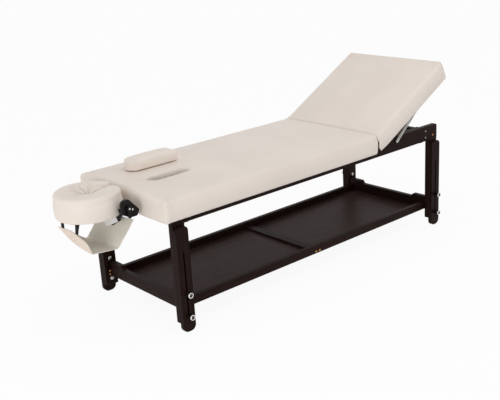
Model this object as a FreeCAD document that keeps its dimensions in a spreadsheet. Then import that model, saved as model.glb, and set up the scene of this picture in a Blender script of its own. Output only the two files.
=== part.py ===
"""Massage table: a dark wooden frame on four sliding legs, a padded top with a
face hole, a lift backrest on telescopic struts, a headrest with a horseshoe
pillow on two rods, and an arm sling under it.

+X runs from the head end to the backrest end, -Y is the near side, +Z is up.
The origin is on the floor, in the middle of the whole table. Millimetres.
"""
import FreeCAD
import Part
import math
import os
import re
from types import SimpleNamespace

Vector = FreeCAD.Vector
Rotation = FreeCAD.Rotation
Placement = FreeCAD.Placement

doc = FreeCAD.newDocument("massage_table")

# Driving sizes: name, value or formula, what it measures
ROWS = [
    ("leg_span", 1904, "length over the outer edges of the legs"),
    ("leg_width", 70, "width of a leg board and of the post behind it"),
    ("leg_thick", 22, "thickness of a sliding leg board"),
    ("leg_toe", 28, "corner radius at the foot of a leg"),
    ("leg_drop", 8, "gap from the top of a leg up to the rail"),
    ("leg_travel", 200, "how far a leg slides down"),
    ("leg_crown", 22, "corner radius at the top of a leg"),
    ("post_thick", 28, "thickness of posts and side rails"),
    ("post_bottom", 43, "height of the post's lower end"),
    ("frame_width", 656, "width over the outer faces of the side rails"),
    ("rail_bottom", 519, "underside of the top side rails"),
    ("rail_height", 84, "height of the top side rails"),
    ("rail_ease", 10, "rounding at the ends of the top side rails"),
    ("end_rail_in", 90, "from the leg's outer edge to a top end rail"),
    ("end_rail_thick", 25, "thickness of the top end rails"),
    ("end_rail_bottom", 504, "underside of the top end rails"),
    ("end_rail_height", 83, "height of the top end rails"),
    ("bolt_low", 78, "height of the lower clamp bolts"),
    ("bolt_rise", 110, "distance between the two clamp bolts of a leg"),
    ("bolt_r", 4, "radius of a clamp bolt"),
    ("bolt_head_r", 10, "radius of a bolt's domed head"),
    ("bolt_head_high", 5, "height of that head"),
    ("bolt_out", 20, "bolt past the outer face of the leg"),
    ("bolt_free", 0.1, "clearance of a bolt in its post"),
    ("slot_free", 0.4, "clearance of a bolt in the leg's slot"),
    ("run_free", 0.05, "radial clearance of turning and sliding fits"),
    ("knob_r", 11, "radius of a clamp knob"),
    ("knob_long", 31, "length of a clamp knob"),
    ("knob_gap", 0.4, "gap from the leg to a knob"),
    ("knob_ease", 0.5, "taper at the foot of a knob"),
    ("knob_foot", 4, "length of that taper"),
    ("ring_high", 5, "height of the metal ring on a knob"),
    ("ring_wall", 3.1, "wall of that ring"),
    ("ring_inset", 1.4, "ring in from the side of the knob"),
    ("ring_dish", 2, "depth of the dish inside the ring"),
    ("shelf_bottom", 90.5, "underside of the shelf rails and panel"),
    ("shelf_height", 43, "height of the shelf rails"),
    ("shelf_thick", 26, "thickness of the shelf rails"),
    ("shelf_gap", 8, "from the posts in to the shelf rails"),
    ("shelf_end_bottom", 91, "underside of the shelf end rails"),
    ("shelf_end_mid", 59, "height of a shelf end rail in the middle"),
    ("shelf_end_high", 77, "height of a shelf end rail at its shoulders"),
    ("shelf_end_arm", 95, "length of a shoulder"),
    ("shelf_end_slope", 15, "length of the slope below a shoulder"),
    ("shoulder_ease", 5, "rounding on top of a shoulder"),
    ("dip_ease", 8, "rounding below a shoulder"),
    ("shelf_end_thick", 25, "thickness of the shelf end rails"),
    ("shelf_end_inset", 35, "from the leg's outer edge to the shelf end rail"),
    ("panel_thick", 6, "thickness of the shelf panel"),
    ("bar_width", 50, "width of the shelf crossbar"),
    ("bar_thick", 12, "thickness of the shelf crossbar"),
    ("bar_shift", -12, "crossbar from the middle of the frame"),
    ("screw_r", 5, "radius of a screw head"),
    ("screw_high", 2, "height of a screw head"),
    ("bar_screw", 13.5, "crossbar screws from the middle of the bar"),
    ("rail_screw_in", 36, "yellow rail screw from the leg's outer edge"),
    ("rail_screw_up", 24, "yellow rail screw above the rail's underside"),
    ("post_screw_in", 28, "post screws from the leg's outer edge"),
    ("post_screw_low", 102, "height of the lower post screw"),
    ("post_screw_rise", 17.5, "distance between the two post screws"),
    ("grey_screw_up", 21, "lower grey screw above the rail's underside"),
    ("grey_screw_rise", 37, "distance between the two grey screws"),
    ("cleat_size", 25, "section of the cleats under the deck"),
    ("deck_thick", 12, "thickness of the deck board"),
    ("deck_free", 0.5, "gap beside and above the boards"),
    ("deck_proud", 8.5, "deck top above the side rails"),
    ("deck_back", 2, "deck in from the outer edge of the head legs"),
    ("pad_edge", 651, "height of the mattress top at its edges"),
    ("pad_crown", 4, "rise of the mattress top in the middle"),
    ("pad_over", 43, "mattress past the legs at the head end"),
    ("pad_round", 30, "rounding of the mattress corners"),
    ("pad_roll", 26, "roll along the top edges of the cushions"),
    ("pad_lean", 4, "sides drawn in below that roll"),
    ("pad_draw", 6, "sides drawn in at the lower edge"),
    ("end_roll", 28, "roll at the free ends of the cushions"),
    ("crease_roll", 34, "roll where the two cushions meet"),
    ("crease_round", 12, "rounding of the corners there"),
    ("skirt_bottom", 541, "lower edge of the mattress skirt"),
    ("skirt_gap", 4, "from a strut tube to the skirt beside it"),
    ("skirt_thick", 12, "thickness of the side skirts"),
    ("skirt_end", 20, "thickness of the end skirts"),
    ("face_in", 275, "face hole from the mattress's head end"),
    ("face_long", 260, "length of the face hole"),
    ("face_wide", 100, "width of the face hole"),
    ("face_free", 4, "hole in the deck larger all round"),
    ("face_flat", 0.2, "flat left at the ends of the face hole"),
    ("notch_wide", 260, "width of the notch for the headrest rods"),
    ("notch_high", 37, "height of that notch"),
    ("hinge_in", 540, "backrest hinge from the outer edge of the foot legs"),
    ("hinge_gap", 7, "from the hinge axis to each cushion"),
    ("hinge_at", 190, "hinges from the centre line"),
    ("knuckle_r", 5, "radius of the hinge knuckles"),
    ("knuckle_long", 20, "length of one hinge knuckle"),
    ("knuckle_gap", 0.3, "gap at each end of a knuckle"),
    ("web_high", 3, "thickness of the web to a knuckle"),
    ("pin_r", 2, "radius of the hinge pins"),
    ("leaf_thick", 2, "thickness of a hinge leaf"),
    ("leaf_high", 11, "height of a hinge leaf"),
    ("back_long", 659, "length of the backrest cushion"),
    ("back_angle", 28.5, "backrest raised from flat, degrees"),
    ("back_round", 46, "rounding of the backrest's free corners"),
    ("board_short", 5, "gap from the backrest board to the end skirt"),
    ("strut_foot", 179, "strut pivot on the rail, from the hinge"),
    ("strut_foot_z", 581, "height of the strut pivot on the rail"),
    ("strut_head", 500, "strut pivot on the backrest, from the hinge"),
    ("strut_head_drop", 31.5, "that pivot below the hinge axis, backrest flat"),
    ("tube_wide", 20, "width of the strut tube"),
    ("tube_thick", 10, "thickness of the strut tube"),
    ("tube_long", 230, "strut tube past its pivot"),
    ("tube_back", 15, "strut tube behind its pivot"),
    ("tube_ease", 8, "rounding of the tube behind its pivot"),
    ("tube_core", 8, "solid tube past the pivot stud"),
    ("tube_free", 1, "gap from the rail to the strut tube"),
    ("slide_wide", 14.4, "width of the strut bar"),
    ("slide_flat", 4.4, "thickness of the strut bar"),
    ("slide_long", 272, "length of the strut bar below its eye"),
    ("slide_end", 12, "strut bar past its eye"),
    ("slide_ease", 6, "rounding of the bar past its eye"),
    ("slide_eye", 4, "radius of the eye"),
    ("slide_free", 0.3, "gap round the bar in the tube"),
    ("stud_r", 6, "radius of the strut pivot"),
    ("stud_head_r", 9, "radius of the pivot's head"),
    ("stud_head_high", 2.5, "height of the pivot's head"),
    ("stud_free", 0.5, "gap under the pivot's head"),
    ("top_plate_long", 50, "length of a strut plate on the backrest"),
    ("top_plate_high", 28, "height of that plate"),
    ("top_plate_thick", 2.5, "thickness of that plate"),
    ("top_stud_r", 5, "radius of the stud on it"),
    ("top_stud_out", 3.5, "stud past the plate"),
    ("tilt_out", 80, "headrest tilt axis from the mattress's head end"),
    ("tilt_z", 606, "height of the headrest tilt axis"),
    ("yoke_half", 182, "half width of the yoke"),
    ("lug_thick", 14, "thickness of the yoke lugs"),
    ("lug_front", 34, "yoke lugs reach this far head-side of the axis"),
    ("lug_back", 60, "and this far table-side of it"),
    ("lug_high", 42, "top of the lugs above the axis"),
    ("lug_nose", 20, "their table-side corner below the axis"),
    ("lug_chin", 24, "their head-side lower corner below the axis"),
    ("lug_foot", 6, "lugs past the beam"),
    ("lug_turn", 24, "rounding of the lugs on the head side"),
    ("lug_ease", 12, "rounding of the lugs on the table side"),
    ("beam_near", 15, "yoke beam starts this far table-side of the axis"),
    ("beam_thick", 25, "thickness of the yoke beam"),
    ("beam_low", 46, "underside of the yoke beam below the axis"),
    ("beam_high", 14, "height of the yoke beam"),
    ("rod_r", 5, "radius of the headrest rods"),
    ("rod_at", 70, "rods from the centre line"),
    ("rod_long", 365, "length of the rods"),
    ("sleeve_r", 9, "outer radius of the rod sleeves"),
    ("sleeve_lip", 3, "lip round the end of a sleeve"),
    ("sleeve_lip_thick", 2, "thickness of that lip"),
    ("tilt_r", 5, "radius of the tilt pins"),
    ("pin_in", 17, "tilt pin past the inside of a lug"),
    ("pin_out", 15, "tilt pin past the outside of a lug"),
    ("rivet_r", 5, "radius of a yoke rivet"),
    ("rivet_high", 2, "height of a yoke rivet"),
    ("rivet_at", 24, "rivets table-side of the tilt axis"),
    ("rivet_drop", 12, "rivets below the tilt axis"),
    ("lever_long", 44, "cam lever below the tilt axis"),
    ("lever_r", 13, "half width of the lever at its head"),
    ("lever_tip", 7, "half width of the lever at its tip"),
    ("lever_flat", 0.2, "flat left at the lever's ends"),
    ("lever_thick", 11, "thickness of the lever"),
    ("lever_gap", 2.5, "gap from the lug to the lever"),
    ("plate_drop", 28, "underside of the headrest plate below the axis"),
    ("plate_thick", 10, "thickness of the headrest plate"),
    ("plate_r", 130, "radius of the headrest plate"),
    ("plate_hole", 52, "radius of the hole in the headrest plate"),
    ("strip_half", 9, "half width of the plate's arm under the axis"),
    ("ear_r", 14, "half width and top of the plate's ears"),
    ("ear_ease", 13.5, "rounding of the ears"),
    ("ear_thick", 13, "thickness of the ears"),
    ("ear_gap", 2, "gap from the ears to the lugs"),
    ("pillow_gap", 12, "from the mattress to the pillow"),
    ("pillow_r", 159, "outer radius of the pillow"),
    ("pillow_hole", 38, "radius of the pillow's hole at its waist"),
    ("pillow_high", 91, "height of the pillow above its plate"),
    ("pillow_skirt", 27, "pillow's rim hangs below the plate's top"),
    ("skirt_free", 4, "gap from the plate's edge to that rim"),
    ("skirt_back", 20, "rim ends this far head-side of the tilt axis"),
    ("pillow_open", 22, "half angle of the pillow's opening, degrees"),
    ("pillow_tuck", 5, "pillow's rim in from its outside"),
    ("pillow_shoulder", 34, "roll round the top of the pillow"),
    ("pillow_foot", 10, "pillow's base out from its hole"),
    ("pillow_lip", 14, "pillow's inner lip out from its hole"),
    ("sling_out", 4, "sling centre head-side of the pillow's centre"),
    ("sling_top", 512, "height of the sling's upper edges"),
    ("sling_deep", 112, "depth of the sling"),
    ("sling_front", 92, "head-side edge from the sling's centre"),
    ("sling_back", 160, "table-side edge from the sling's centre"),
    ("floor_front", 70, "head-side fold from the sling's centre"),
    ("floor_back", 55, "table-side fold from the sling's centre"),
    ("sling_long", 230, "length of the sling"),
    ("sling_round", 28, "rounding of the sling's lower edges"),
    ("sling_turn", 7, "turn of the sling about the vertical, degrees"),
    ("cloth", 3, "thickness of sling cloth and straps"),
    ("strap_wide", 25, "width of a strap"),
    ("strap_ends", 37, "two head-side straps, either side of their middle"),
    ("strap_far", 27, "middle of those straps from the sling's middle"),
    ("strap_back", 48, "table-side straps hang this far head-side of the tilt axis"),
    ("strap_at", 100, "table-side straps from the centre line at the plate"),
    ("strap_foot", 100, "foot of these straps from the sling's centre"),
    ("strap_near_foot", 30, "foot of the near one along the sling"),
    ("strap_far_foot", 90, "foot of the far one along the sling"),
    ("strap_lift", 10, "these straps end this far off the panel and the plate"),
    ("plug_long", 285, "length of the plug pillow"),
    ("plug_wide", 110, "width of the plug pillow"),
    ("plug_high", 58, "height of the plug pillow at its shoulders"),
    ("plug_crown", 6, "rise of its top between the ends"),
    ("plug_roll", 16, "roll along its top edges"),
    ("plug_draw", 3, "its sides drawn in above and below"),
    ("plug_round", 14, "rounding of its straight end"),
    ("plug_flat", 2, "flat left at its round end"),
    ("plug_in", 290, "plug pillow from the mattress's head end"),
    ("plug_side", 168, "plug pillow from the centre line"),
    ("rest_free", 0.4, "gap under the plug pillow"),
    ("past", 10, "cutting shapes reach this far past what they cut"),
    # Worked out from the sizes above
    ("frame_half", "=frame_width / 2", "outer face of the rails"),
    ("post_in", "=frame_half - post_thick", "inner face of the posts"),
    ("shelf_out", "=post_in - shelf_gap", "outer face of the shelf rails"),
    ("shelf_in", "=shelf_out - shelf_thick", "inner face of the shelf rails"),
    ("shelf_reach", "=leg_span / 2 - shelf_end_inset - shelf_end_thick", "end of the shelf rails"),
    ("panel_top", "=shelf_bottom + panel_thick", "top of the shelf panel"),
    ("leg_out", "=frame_half + leg_thick", "outer face of the legs"),
    ("leg_half", "=leg_span / 2", "outer edge of the legs"),
    ("leg_top", "=rail_bottom - leg_drop", "top of a leg"),
    ("bolt_high", "=bolt_low + bolt_rise", "height of the upper clamp bolts"),
    ("rail_top", "=rail_bottom + rail_height", "top of the side rails"),
    ("deck_top", "=rail_top + deck_proud", "top of the deck and hinge axis"),
    ("deck_half", "=post_in - deck_free", "half width of the boards"),
    ("pad_under", "=deck_top + deck_free", "underside of the padding"),
    ("pad_head", "=leg_half + pad_over", "mattress's head end from the middle of the frame"),
    ("skirt_in", "=frame_half + tube_free + tube_thick + skirt_gap", "inner face of the skirts"),
    ("pad_half", "=skirt_in + skirt_thick", "half width of the cushions"),
    ("tube_mid", "=frame_half + tube_free + tube_thick / 2", "middle of a strut tube"),
    ("rod_drop", "=beam_low - beam_high / 2", "rods below the tilt axis"),
    ("hinge_shift", "=leg_half - hinge_in", "hinge from the middle of the frame"),
    ("pillow_shift", "=pad_head + pillow_gap + pillow_r", "pillow centre from there"),
    ("head_reach", "=pillow_shift + pillow_r", "pillow's end from there"),
    ("back_reach", "=hinge_shift + (hinge_gap + back_long) * cos(back_angle)"
     " + (deck_top - skirt_bottom) * sin(back_angle)", "raised backrest's end from there"),
    ("mid_x", "=(head_reach - back_reach) / 2", "middle of the frame along X"),
    ("hinge_x", "=mid_x + hinge_shift", "backrest hinge axis"),
    ("tilt_x", "=mid_x - pad_head - tilt_out", "headrest tilt axis"),
    ("pillow_x", "=mid_x - pillow_shift", "pillow centre"),
    ("sling_x", "=pillow_x - sling_out", "sling centre"),
    ("face_x", "=mid_x - pad_head + face_in", "face hole centre"),
    ("plug_x", "=mid_x - pad_head + plug_in", "plug pillow centre"),
    ("plug_base", "=pad_edge + pad_crown + rest_free", "underside of the plug pillow"),
]

sheet = doc.addObject("Spreadsheet::Sheet", "Sizes")
for row, (alias, value, note) in enumerate(ROWS, start=1):
    sheet.set(f"A{row}", note)
    sheet.setAlias(f"B{row}", alias)
for row, (alias, value, note) in enumerate(ROWS, start=1):
    sheet.set(f"B{row}", str(value))
doc.recompute()

ALIASES = {alias for alias, value, note in ROWS}
s = SimpleNamespace(**{alias: float(sheet.get(alias)) for alias in ALIASES})
WORD = re.compile(r"[a-z_]+")
AXES = {"x": Vector(1, 0, 0), "y": Vector(0, 1, 0), "z": Vector(0, 0, 1)}
# A turned piece is drawn along Z and laid along another axis
LAY = {
    "x": Rotation(Vector(0, 1, 0), 90),
    "y": Rotation(Vector(1, 0, 0), -90),
    "-y": Rotation(Vector(1, 0, 0), 90),
}
# Each outline plane: how it is turned and the axis it is extruded along
PLANES = {
    "xy": (Rotation(), "z"),
    "xz": (Rotation(Vector(1, 0, 0), 90), "y"),
    "yz": (Rotation(Vector(1, 1, 1), 120), "x"),
}
SIDES = (("near", -1), ("far", 1))
ENDS = (("head", -1), ("foot", 1))
OUTWARD = {-1: "-y", 1: "y"}
nodes = []


def bind(obj, prop, formula):
    """Tie a property to a formula in the names of the sheet."""
    def named(match):
        word = match.group()
        return f"Sizes.{word}" if word in ALIASES else word
    obj.setExpression(prop, WORD.sub(named, str(formula)))


def settle(obj, x, y, z):
    """Tie an object's position to three formulas."""
    for axis, formula in (("x", x), ("y", y), ("z", z)):
        bind(obj, f"Placement.Base.{axis}", formula)
    return obj


def across(sign, inner, outer):
    """Start of the span from inner to outer on one side of the centre line."""
    return inner if sign > 0 else f"-({outer})"


def along(sign, inner, outer):
    """Start of the span from inner to outer towards one end of the frame."""
    return f"mid_x + ({inner})" if sign > 0 else f"mid_x - ({outer})"


def box(name, start, size):
    """A box from three start formulas and three size formulas."""
    solid = doc.addObject("Part::Box", name)
    for prop, formula in zip(("Length", "Width", "Height"), size):
        bind(solid, prop, formula)
    return settle(solid, *start)


def rod(name, axis, start, radius, length):
    """A round bar along an axis."""
    solid = doc.addObject("Part::Cylinder", name)
    if axis in LAY:
        solid.Placement = Placement(Vector(), LAY[axis])
    bind(solid, "Radius", radius)
    bind(solid, "Height", length)
    return settle(solid, *start)


def rounded(corners):
    """Closed outline whose corners (u, v, radius) are rounded."""
    cuts = []
    for i, (u, v, radius) in enumerate(corners):
        here = Vector(u, v, 0)
        following = corners[(i + 1) % len(corners)]
        before = (Vector(corners[i - 1][0], corners[i - 1][1], 0) - here).normalize()
        after = (Vector(following[0], following[1], 0) - here).normalize()
        half = before.getAngle(after) / 2
        inward = (before + after).normalize()
        back = radius / math.tan(half)
        middle = here + inward * (radius / math.sin(half) - radius)
        cuts.append((here + before * back, middle, here + after * back, radius))
    edges = []
    for i, (start, middle, end, radius) in enumerate(cuts):
        if radius:
            edges.append(Part.Arc(start, middle, end))
        onward = cuts[(i + 1) % len(cuts)][0]
        if (onward - end).Length > 0.001:
            edges.append(Part.LineSegment(end, onward))
    return edges


def sharp(points):
    """Closed outline with plain corners."""
    return rounded([(u, v, 0) for u, v in points])


def rectangle(u0, u1, v0, v1):
    """A plain rectangle as an outline."""
    return sharp([(u0, v0), (u1, v0), (u1, v1), (u0, v1)])


def chain(points):
    """Closed outline through points; a third value marks an arc's middle point."""
    edges = []
    last = Vector(points[0][0], points[0][1], 0)
    middle = None
    for point in list(points[1:]) + [points[0]]:
        here = Vector(point[0], point[1], 0)
        if len(point) == 3:
            middle = here
            continue
        if middle is None:
            edges.append(Part.LineSegment(last, here))
        else:
            edges.append(Part.Arc(last, middle, here))
        last = here
        middle = None
    return edges


def ring(u, v, radius):
    """A circle as an outline."""
    return [Part.Circle(Vector(u, v, 0), Vector(0, 0, 1), radius)]


def slot(u, low, high, radius):
    """An upright slot with round ends."""
    return chain([
        (u - radius, low), (u - radius, high), (u, high + radius, "arc"),
        (u + radius, high), (u + radius, low), (u, low - radius, "arc"),
    ])


def drawn(name, plane, loops):
    """A sketch of closed outlines on one plane."""
    sketch = doc.addObject("Sketcher::SketchObject", name)
    sketch.Placement = Placement(Vector(), PLANES[plane][0])
    for loop in loops:
        for edge in loop:
            sketch.addGeometry(edge, False)
    return sketch


def board(name, plane, loops, start, depth):
    """Outlines on a plane, the first one solid and the rest cut out of it."""
    axis = PLANES[plane][1]
    outline = drawn(name + "_outline", plane, loops)
    bind(outline, f"Placement.Base.{axis}", start)
    solid = doc.addObject("Part::Extrusion", name)
    solid.Base = outline
    solid.DirMode = "Custom"
    solid.Dir = AXES[axis]
    solid.Solid = True
    bind(solid, "LengthFwd", depth)
    return solid


def turned(name, corners, lay="z", angle=360):
    """A half outline of (radius, height) turned about its axis."""
    solid = doc.addObject("Part::Revolution", name)
    solid.Source = drawn(name + "_half", "xz", [corners])
    solid.Axis = Vector(0, 0, 1)
    solid.Angle = angle
    solid.Solid = True
    if lay in LAY:
        solid.Placement = Placement(Vector(), LAY[lay])
    return solid


def dome(name, sign, radius, height):
    """A low domed head standing on a face that looks along Y."""
    return turned(name, sharp([(0, 0), (radius, 0), (radius - height, height), (0, height)]), OUTWARD[sign])


def fused(name, solids):
    """Several solids grown into one piece."""
    whole = doc.addObject("Part::MultiFuse", name)
    whole.Shapes = solids
    return whole


def shared(name, solids):
    """The space common to several solids."""
    whole = doc.addObject("Part::MultiCommon", name)
    whole.Shapes = solids
    return whole


def cut(name, solid, tools):
    """A solid with several others taken out of it."""
    result = doc.addObject("Part::Cut", name)
    result.Base = solid
    result.Tool = tools[0] if len(tools) == 1 else fused(name + "_tools", tools)
    return result


def gathered(name, solids):
    """Alike pieces kept as one node."""
    group = doc.addObject("Part::Compound", name)
    group.Links = solids
    return group


def keep(obj, label):
    """Mark an object as a finished sub-part."""
    obj.Label = label
    nodes.append(obj)
    return obj


def reclined(obj):
    """Swing a piece drawn flat about the hinge axis up to the raised backrest."""
    obj.Placement = Placement(Vector(), Rotation(Vector(0, 1, 0), -s.back_angle))
    return settle(obj, "hinge_x", "0", "deck_top")


# Wooden frame: side rails, end rails, shelf and the cleats that carry the deck
rail_x = (s.mid_x - s.leg_half, s.mid_x + s.leg_half)
rod_z = s.tilt_z - s.rod_drop
for side, sign in SIDES:
    rail = board(f"rail_{side}", "xz", [rounded([
        (rail_x[0], s.rail_bottom, 0), (rail_x[1], s.rail_bottom, 0),
        (rail_x[1], s.rail_top, s.rail_ease), (rail_x[0], s.rail_top, s.rail_ease),
    ])], across(sign, "post_in", "frame_half"), "post_thick")
    keep(rail, f"side_rail_{side}")
    keep(box(
        f"shelf_rail_{side}_board",
        ("mid_x - shelf_reach", across(sign, "shelf_in", "shelf_out"), "shelf_bottom"),
        ("2 * shelf_reach", "shelf_thick", "shelf_height"),
    ), f"shelf_rail_{side}")
    keep(box(
        f"cleat_{side}_strip",
        ("mid_x - leg_half + end_rail_in + end_rail_thick",
         across(sign, "post_in - cleat_size", "post_in"), "deck_top - deck_thick - cleat_size"),
        ("leg_span - 2 * (end_rail_in + end_rail_thick)", "cleat_size", "cleat_size"),
    ), f"deck_cleat_{side}")

rod_holes = [ring(sign * s.rod_at, rod_z, s.sleeve_r + s.run_free) for side, sign in SIDES]
low = s.shelf_end_bottom
high = low + s.shelf_end_high
mid = low + s.shelf_end_mid
step = s.post_in - s.shelf_end_arm
dip = step - s.shelf_end_slope
for end, way in ENDS:
    end_loop = rectangle(-s.post_in, s.post_in, s.end_rail_bottom, s.end_rail_bottom + s.end_rail_height)
    keep(board(
        f"end_rail_{end}_board", "yz", [end_loop] + (rod_holes if end == "head" else []),
        along(way, "leg_half - end_rail_in - end_rail_thick", "leg_half - end_rail_in"), "end_rail_thick",
    ), f"end_rail_{end}")
    keep(board(f"shelf_end_{end}_board", "yz", [rounded([
        (-s.post_in, low, 0), (s.post_in, low, 0), (s.post_in, high, 0), (step, high, s.shoulder_ease),
        (dip, mid, s.dip_ease), (-dip, mid, s.dip_ease), (-step, high, s.shoulder_ease),
        (-s.post_in, high, 0),
    ])], along(way, "leg_half - shelf_end_inset - shelf_end_thick", "leg_half - shelf_end_inset"),
        "shelf_end_thick"), f"shelf_end_{end}")

keep(box("panel_board", ("mid_x - shelf_reach", "-shelf_in", "shelf_bottom"),
         ("2 * shelf_reach", "2 * shelf_in", "panel_thick")), "shelf_panel")
keep(box("crossbar_board", ("mid_x + bar_shift - bar_width / 2", "-shelf_in", "panel_top"),
         ("bar_width", "2 * shelf_in", "bar_thick")), "shelf_crossbar")

# Posts, sliding legs, clamp bolts and knobs
bolt_heights = (("lower", s.bolt_low, "bolt_low"), ("upper", s.bolt_high, "bolt_high"))
shank = s.post_thick + s.leg_thick + s.bolt_out
bolt_half = sharp([
    (0, -s.bolt_head_high), (s.bolt_head_r - s.bolt_head_high, -s.bolt_head_high), (s.bolt_head_r, 0),
    (s.bolt_r, 0), (s.bolt_r, shank), (0, shank),
])
bore = s.bolt_r + s.run_free
face = s.knob_long - s.ring_high
ring_r = s.knob_r - s.ring_inset
dish_r = ring_r - s.ring_wall
knob_half = sharp([
    (bore, s.knob_gap), (s.knob_r - s.knob_ease, s.knob_gap), (s.knob_r, s.knob_foot),
    (s.knob_r, face - s.ring_inset), (ring_r, face), (ring_r, s.knob_long), (dish_r, s.knob_long),
    (dish_r, s.knob_long - s.ring_dish), (bore, s.knob_long - s.ring_dish),
])
bolts = []
for end, way in ENDS:
    x0 = s.mid_x + way * s.leg_half - (s.leg_width if way > 0 else 0)
    x1 = x0 + s.leg_width
    centre = (x0 + x1) / 2
    x_mid = along(way, "leg_half - leg_width / 2", "leg_half - leg_width / 2")
    for side, sign in SIDES:
        holes = [ring(centre, z, s.bolt_r + s.bolt_free) for level, z, name in bolt_heights]
        keep(board(
            f"post_{end}_{side}_board", "xz", [rectangle(x0, x1, s.post_bottom, s.rail_bottom)] + holes,
            across(sign, "post_in", "frame_half"), "post_thick",
        ), f"post_{end}_{side}")
        keep(board(f"leg_{end}_{side}_board", "xz", [
            rounded([
                (x0, 0, s.leg_toe), (x1, 0, s.leg_toe),
                (x1, s.leg_top, s.leg_crown), (x0, s.leg_top, s.leg_crown),
            ]),
            slot(centre, s.bolt_low, s.bolt_high + s.leg_travel, s.bolt_r + s.slot_free),
        ], across(sign, "frame_half", "leg_out"), "leg_thick"), f"leg_{end}_{side}")
        for level, z, z_name in bolt_heights:
            bolt = turned(f"bolt_{end}_{side}_{level}", bolt_half, OUTWARD[sign])
            bolts.append(settle(bolt, x_mid, f"{sign} * post_in", z_name))
            knob = turned(f"knob_{end}_{side}_{level}_turned", knob_half, OUTWARD[sign])
            keep(settle(knob, x_mid, f"{sign} * leg_out", z_name), f"knob_{end}_{side}_{level}")
keep(gathered("bolt_set", bolts), "leg_bolts")


# Screw heads on the faces of the rails and posts
def screw(name, sign, x, y, z):
    """A screw head at a place on a face."""
    return settle(dome(name, sign, s.screw_r, s.screw_high), x, y, z)


yellow = []
grey = []
for side, sign in SIDES:
    out = f"{sign} * frame_half"
    for step in (-1, 1):
        yellow.append(screw(f"yellow_bar_{side}_{step + 1}", sign, f"mid_x + bar_shift + {step} * bar_screw",
                            f"{sign} * shelf_out", "panel_top + bar_thick / 2"))
    for end, way in ENDS:
        rail_in = along(way, "leg_half - rail_screw_in", "leg_half - rail_screw_in")
        yellow.append(screw(f"yellow_rail_{end}_{side}", sign, rail_in, out, "rail_bottom + rail_screw_up"))
        post_in = along(way, "leg_half - post_screw_in", "leg_half - post_screw_in")
        end_mid = "leg_half - end_rail_in - end_rail_thick / 2"
        for step in (0, 1):
            yellow.append(screw(f"yellow_post_{end}_{side}_{step}", -sign, post_in, f"{sign} * post_in",
                                f"post_screw_low + {step} * post_screw_rise"))
            grey.append(screw(f"grey_rail_{end}_{side}_{step}", sign, along(way, end_mid, end_mid), out,
                              f"rail_bottom + grey_screw_up + {step} * grey_screw_rise"))
keep(gathered("yellow_set", yellow), "yellow_screws")
keep(gathered("grey_set", grey), "grey_screws")


# Padded top: each cushion is the space shared by its three silhouettes
def padding(name, x0, x1, low, edge, corners, ends):
    """A crowned block with bulging sides; corners are plan radii, ends the end rolls."""
    w = s.pad_half
    roll = s.pad_roll
    waist = (low + edge - s.pad_roll / 2) / 2
    side_points = [(s.pad_draw, low), (0, waist, "arc"), (s.pad_lean, edge - roll),
                   (0.38 * roll, edge - 0.31 * roll, "arc"), (roll, edge)]
    section = board(f"{name}_section", "yz", [chain(
        [(-w + point[0], *point[1:]) for point in side_points]
        + [(0, edge + s.pad_crown, "arc")]
        + [(w - point[0], *point[1:]) for point in reversed(side_points)]
    )], f"{x0} - past", f"{x1 - x0} + 2 * past")
    top = edge + 2 * s.pad_crown
    profile = board(f"{name}_profile", "xz", [chain([
        (x0, low - s.past), (x1, low - s.past), (x1, edge - ends[1]),
        (x1 - 0.28 * ends[1], edge - 0.24 * ends[1], "arc"), (x1 - 1.14 * ends[1], top),
        (x0 + 1.14 * ends[0], top), (x0 + 0.28 * ends[0], edge - 0.24 * ends[0], "arc"),
        (x0, edge - ends[0]),
    ])], f"{-w} - past", f"{2 * w} + 2 * past")
    plan = board(f"{name}_plan", "xy", [rounded([
        (x0, -w, corners[0]), (x1, -w, corners[1]), (x1, w, corners[1]), (x0, w, corners[0]),
    ])], f"{low} - past", f"{top - low} + 2 * past")
    return shared(f"{name}_block", [section, profile, plan])


def face_loop(grow):
    """Outline of the face hole, grown by a margin."""
    half = s.face_long / 2 + grow
    wide = s.face_wide / 2 + grow
    turn = wide - s.face_flat / 2
    return rounded([
        (s.face_x - half, -wide, turn), (s.face_x + half, -wide, turn),
        (s.face_x + half, wide, turn), (s.face_x - half, wide, turn),
    ])


block = padding(
    "mattress", s.mid_x - s.pad_head, s.hinge_x - s.hinge_gap, s.skirt_bottom, s.pad_edge,
    (s.pad_round, s.crease_round), (s.end_roll, s.crease_roll),
)
keep(cut("mattress_body", block, [
    box("mattress_cavity", ("mid_x - pad_head + skirt_end", "-skirt_in", "skirt_bottom - past"),
        ("pad_head + hinge_shift", "2 * skirt_in", "pad_under - skirt_bottom + past")),
    box("mattress_notch", ("mid_x - pad_head - past", "-notch_wide / 2", "skirt_bottom - past"),
        ("skirt_end + 2 * past", "notch_wide", "notch_high + past")),
    board("face_hole", "xy", [face_loop(0)], "skirt_bottom", "pad_edge + pad_crown + past - skirt_bottom"),
]), "mattress")
deck_loop = rectangle(
    s.mid_x - s.leg_half + s.deck_back, s.hinge_x - s.hinge_gap - s.leaf_thick, -s.deck_half, s.deck_half,
)
keep(board("deck_board", "xy", [deck_loop, face_loop(s.face_free)],
           "deck_top - deck_thick", "deck_thick"), "deck")


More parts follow.
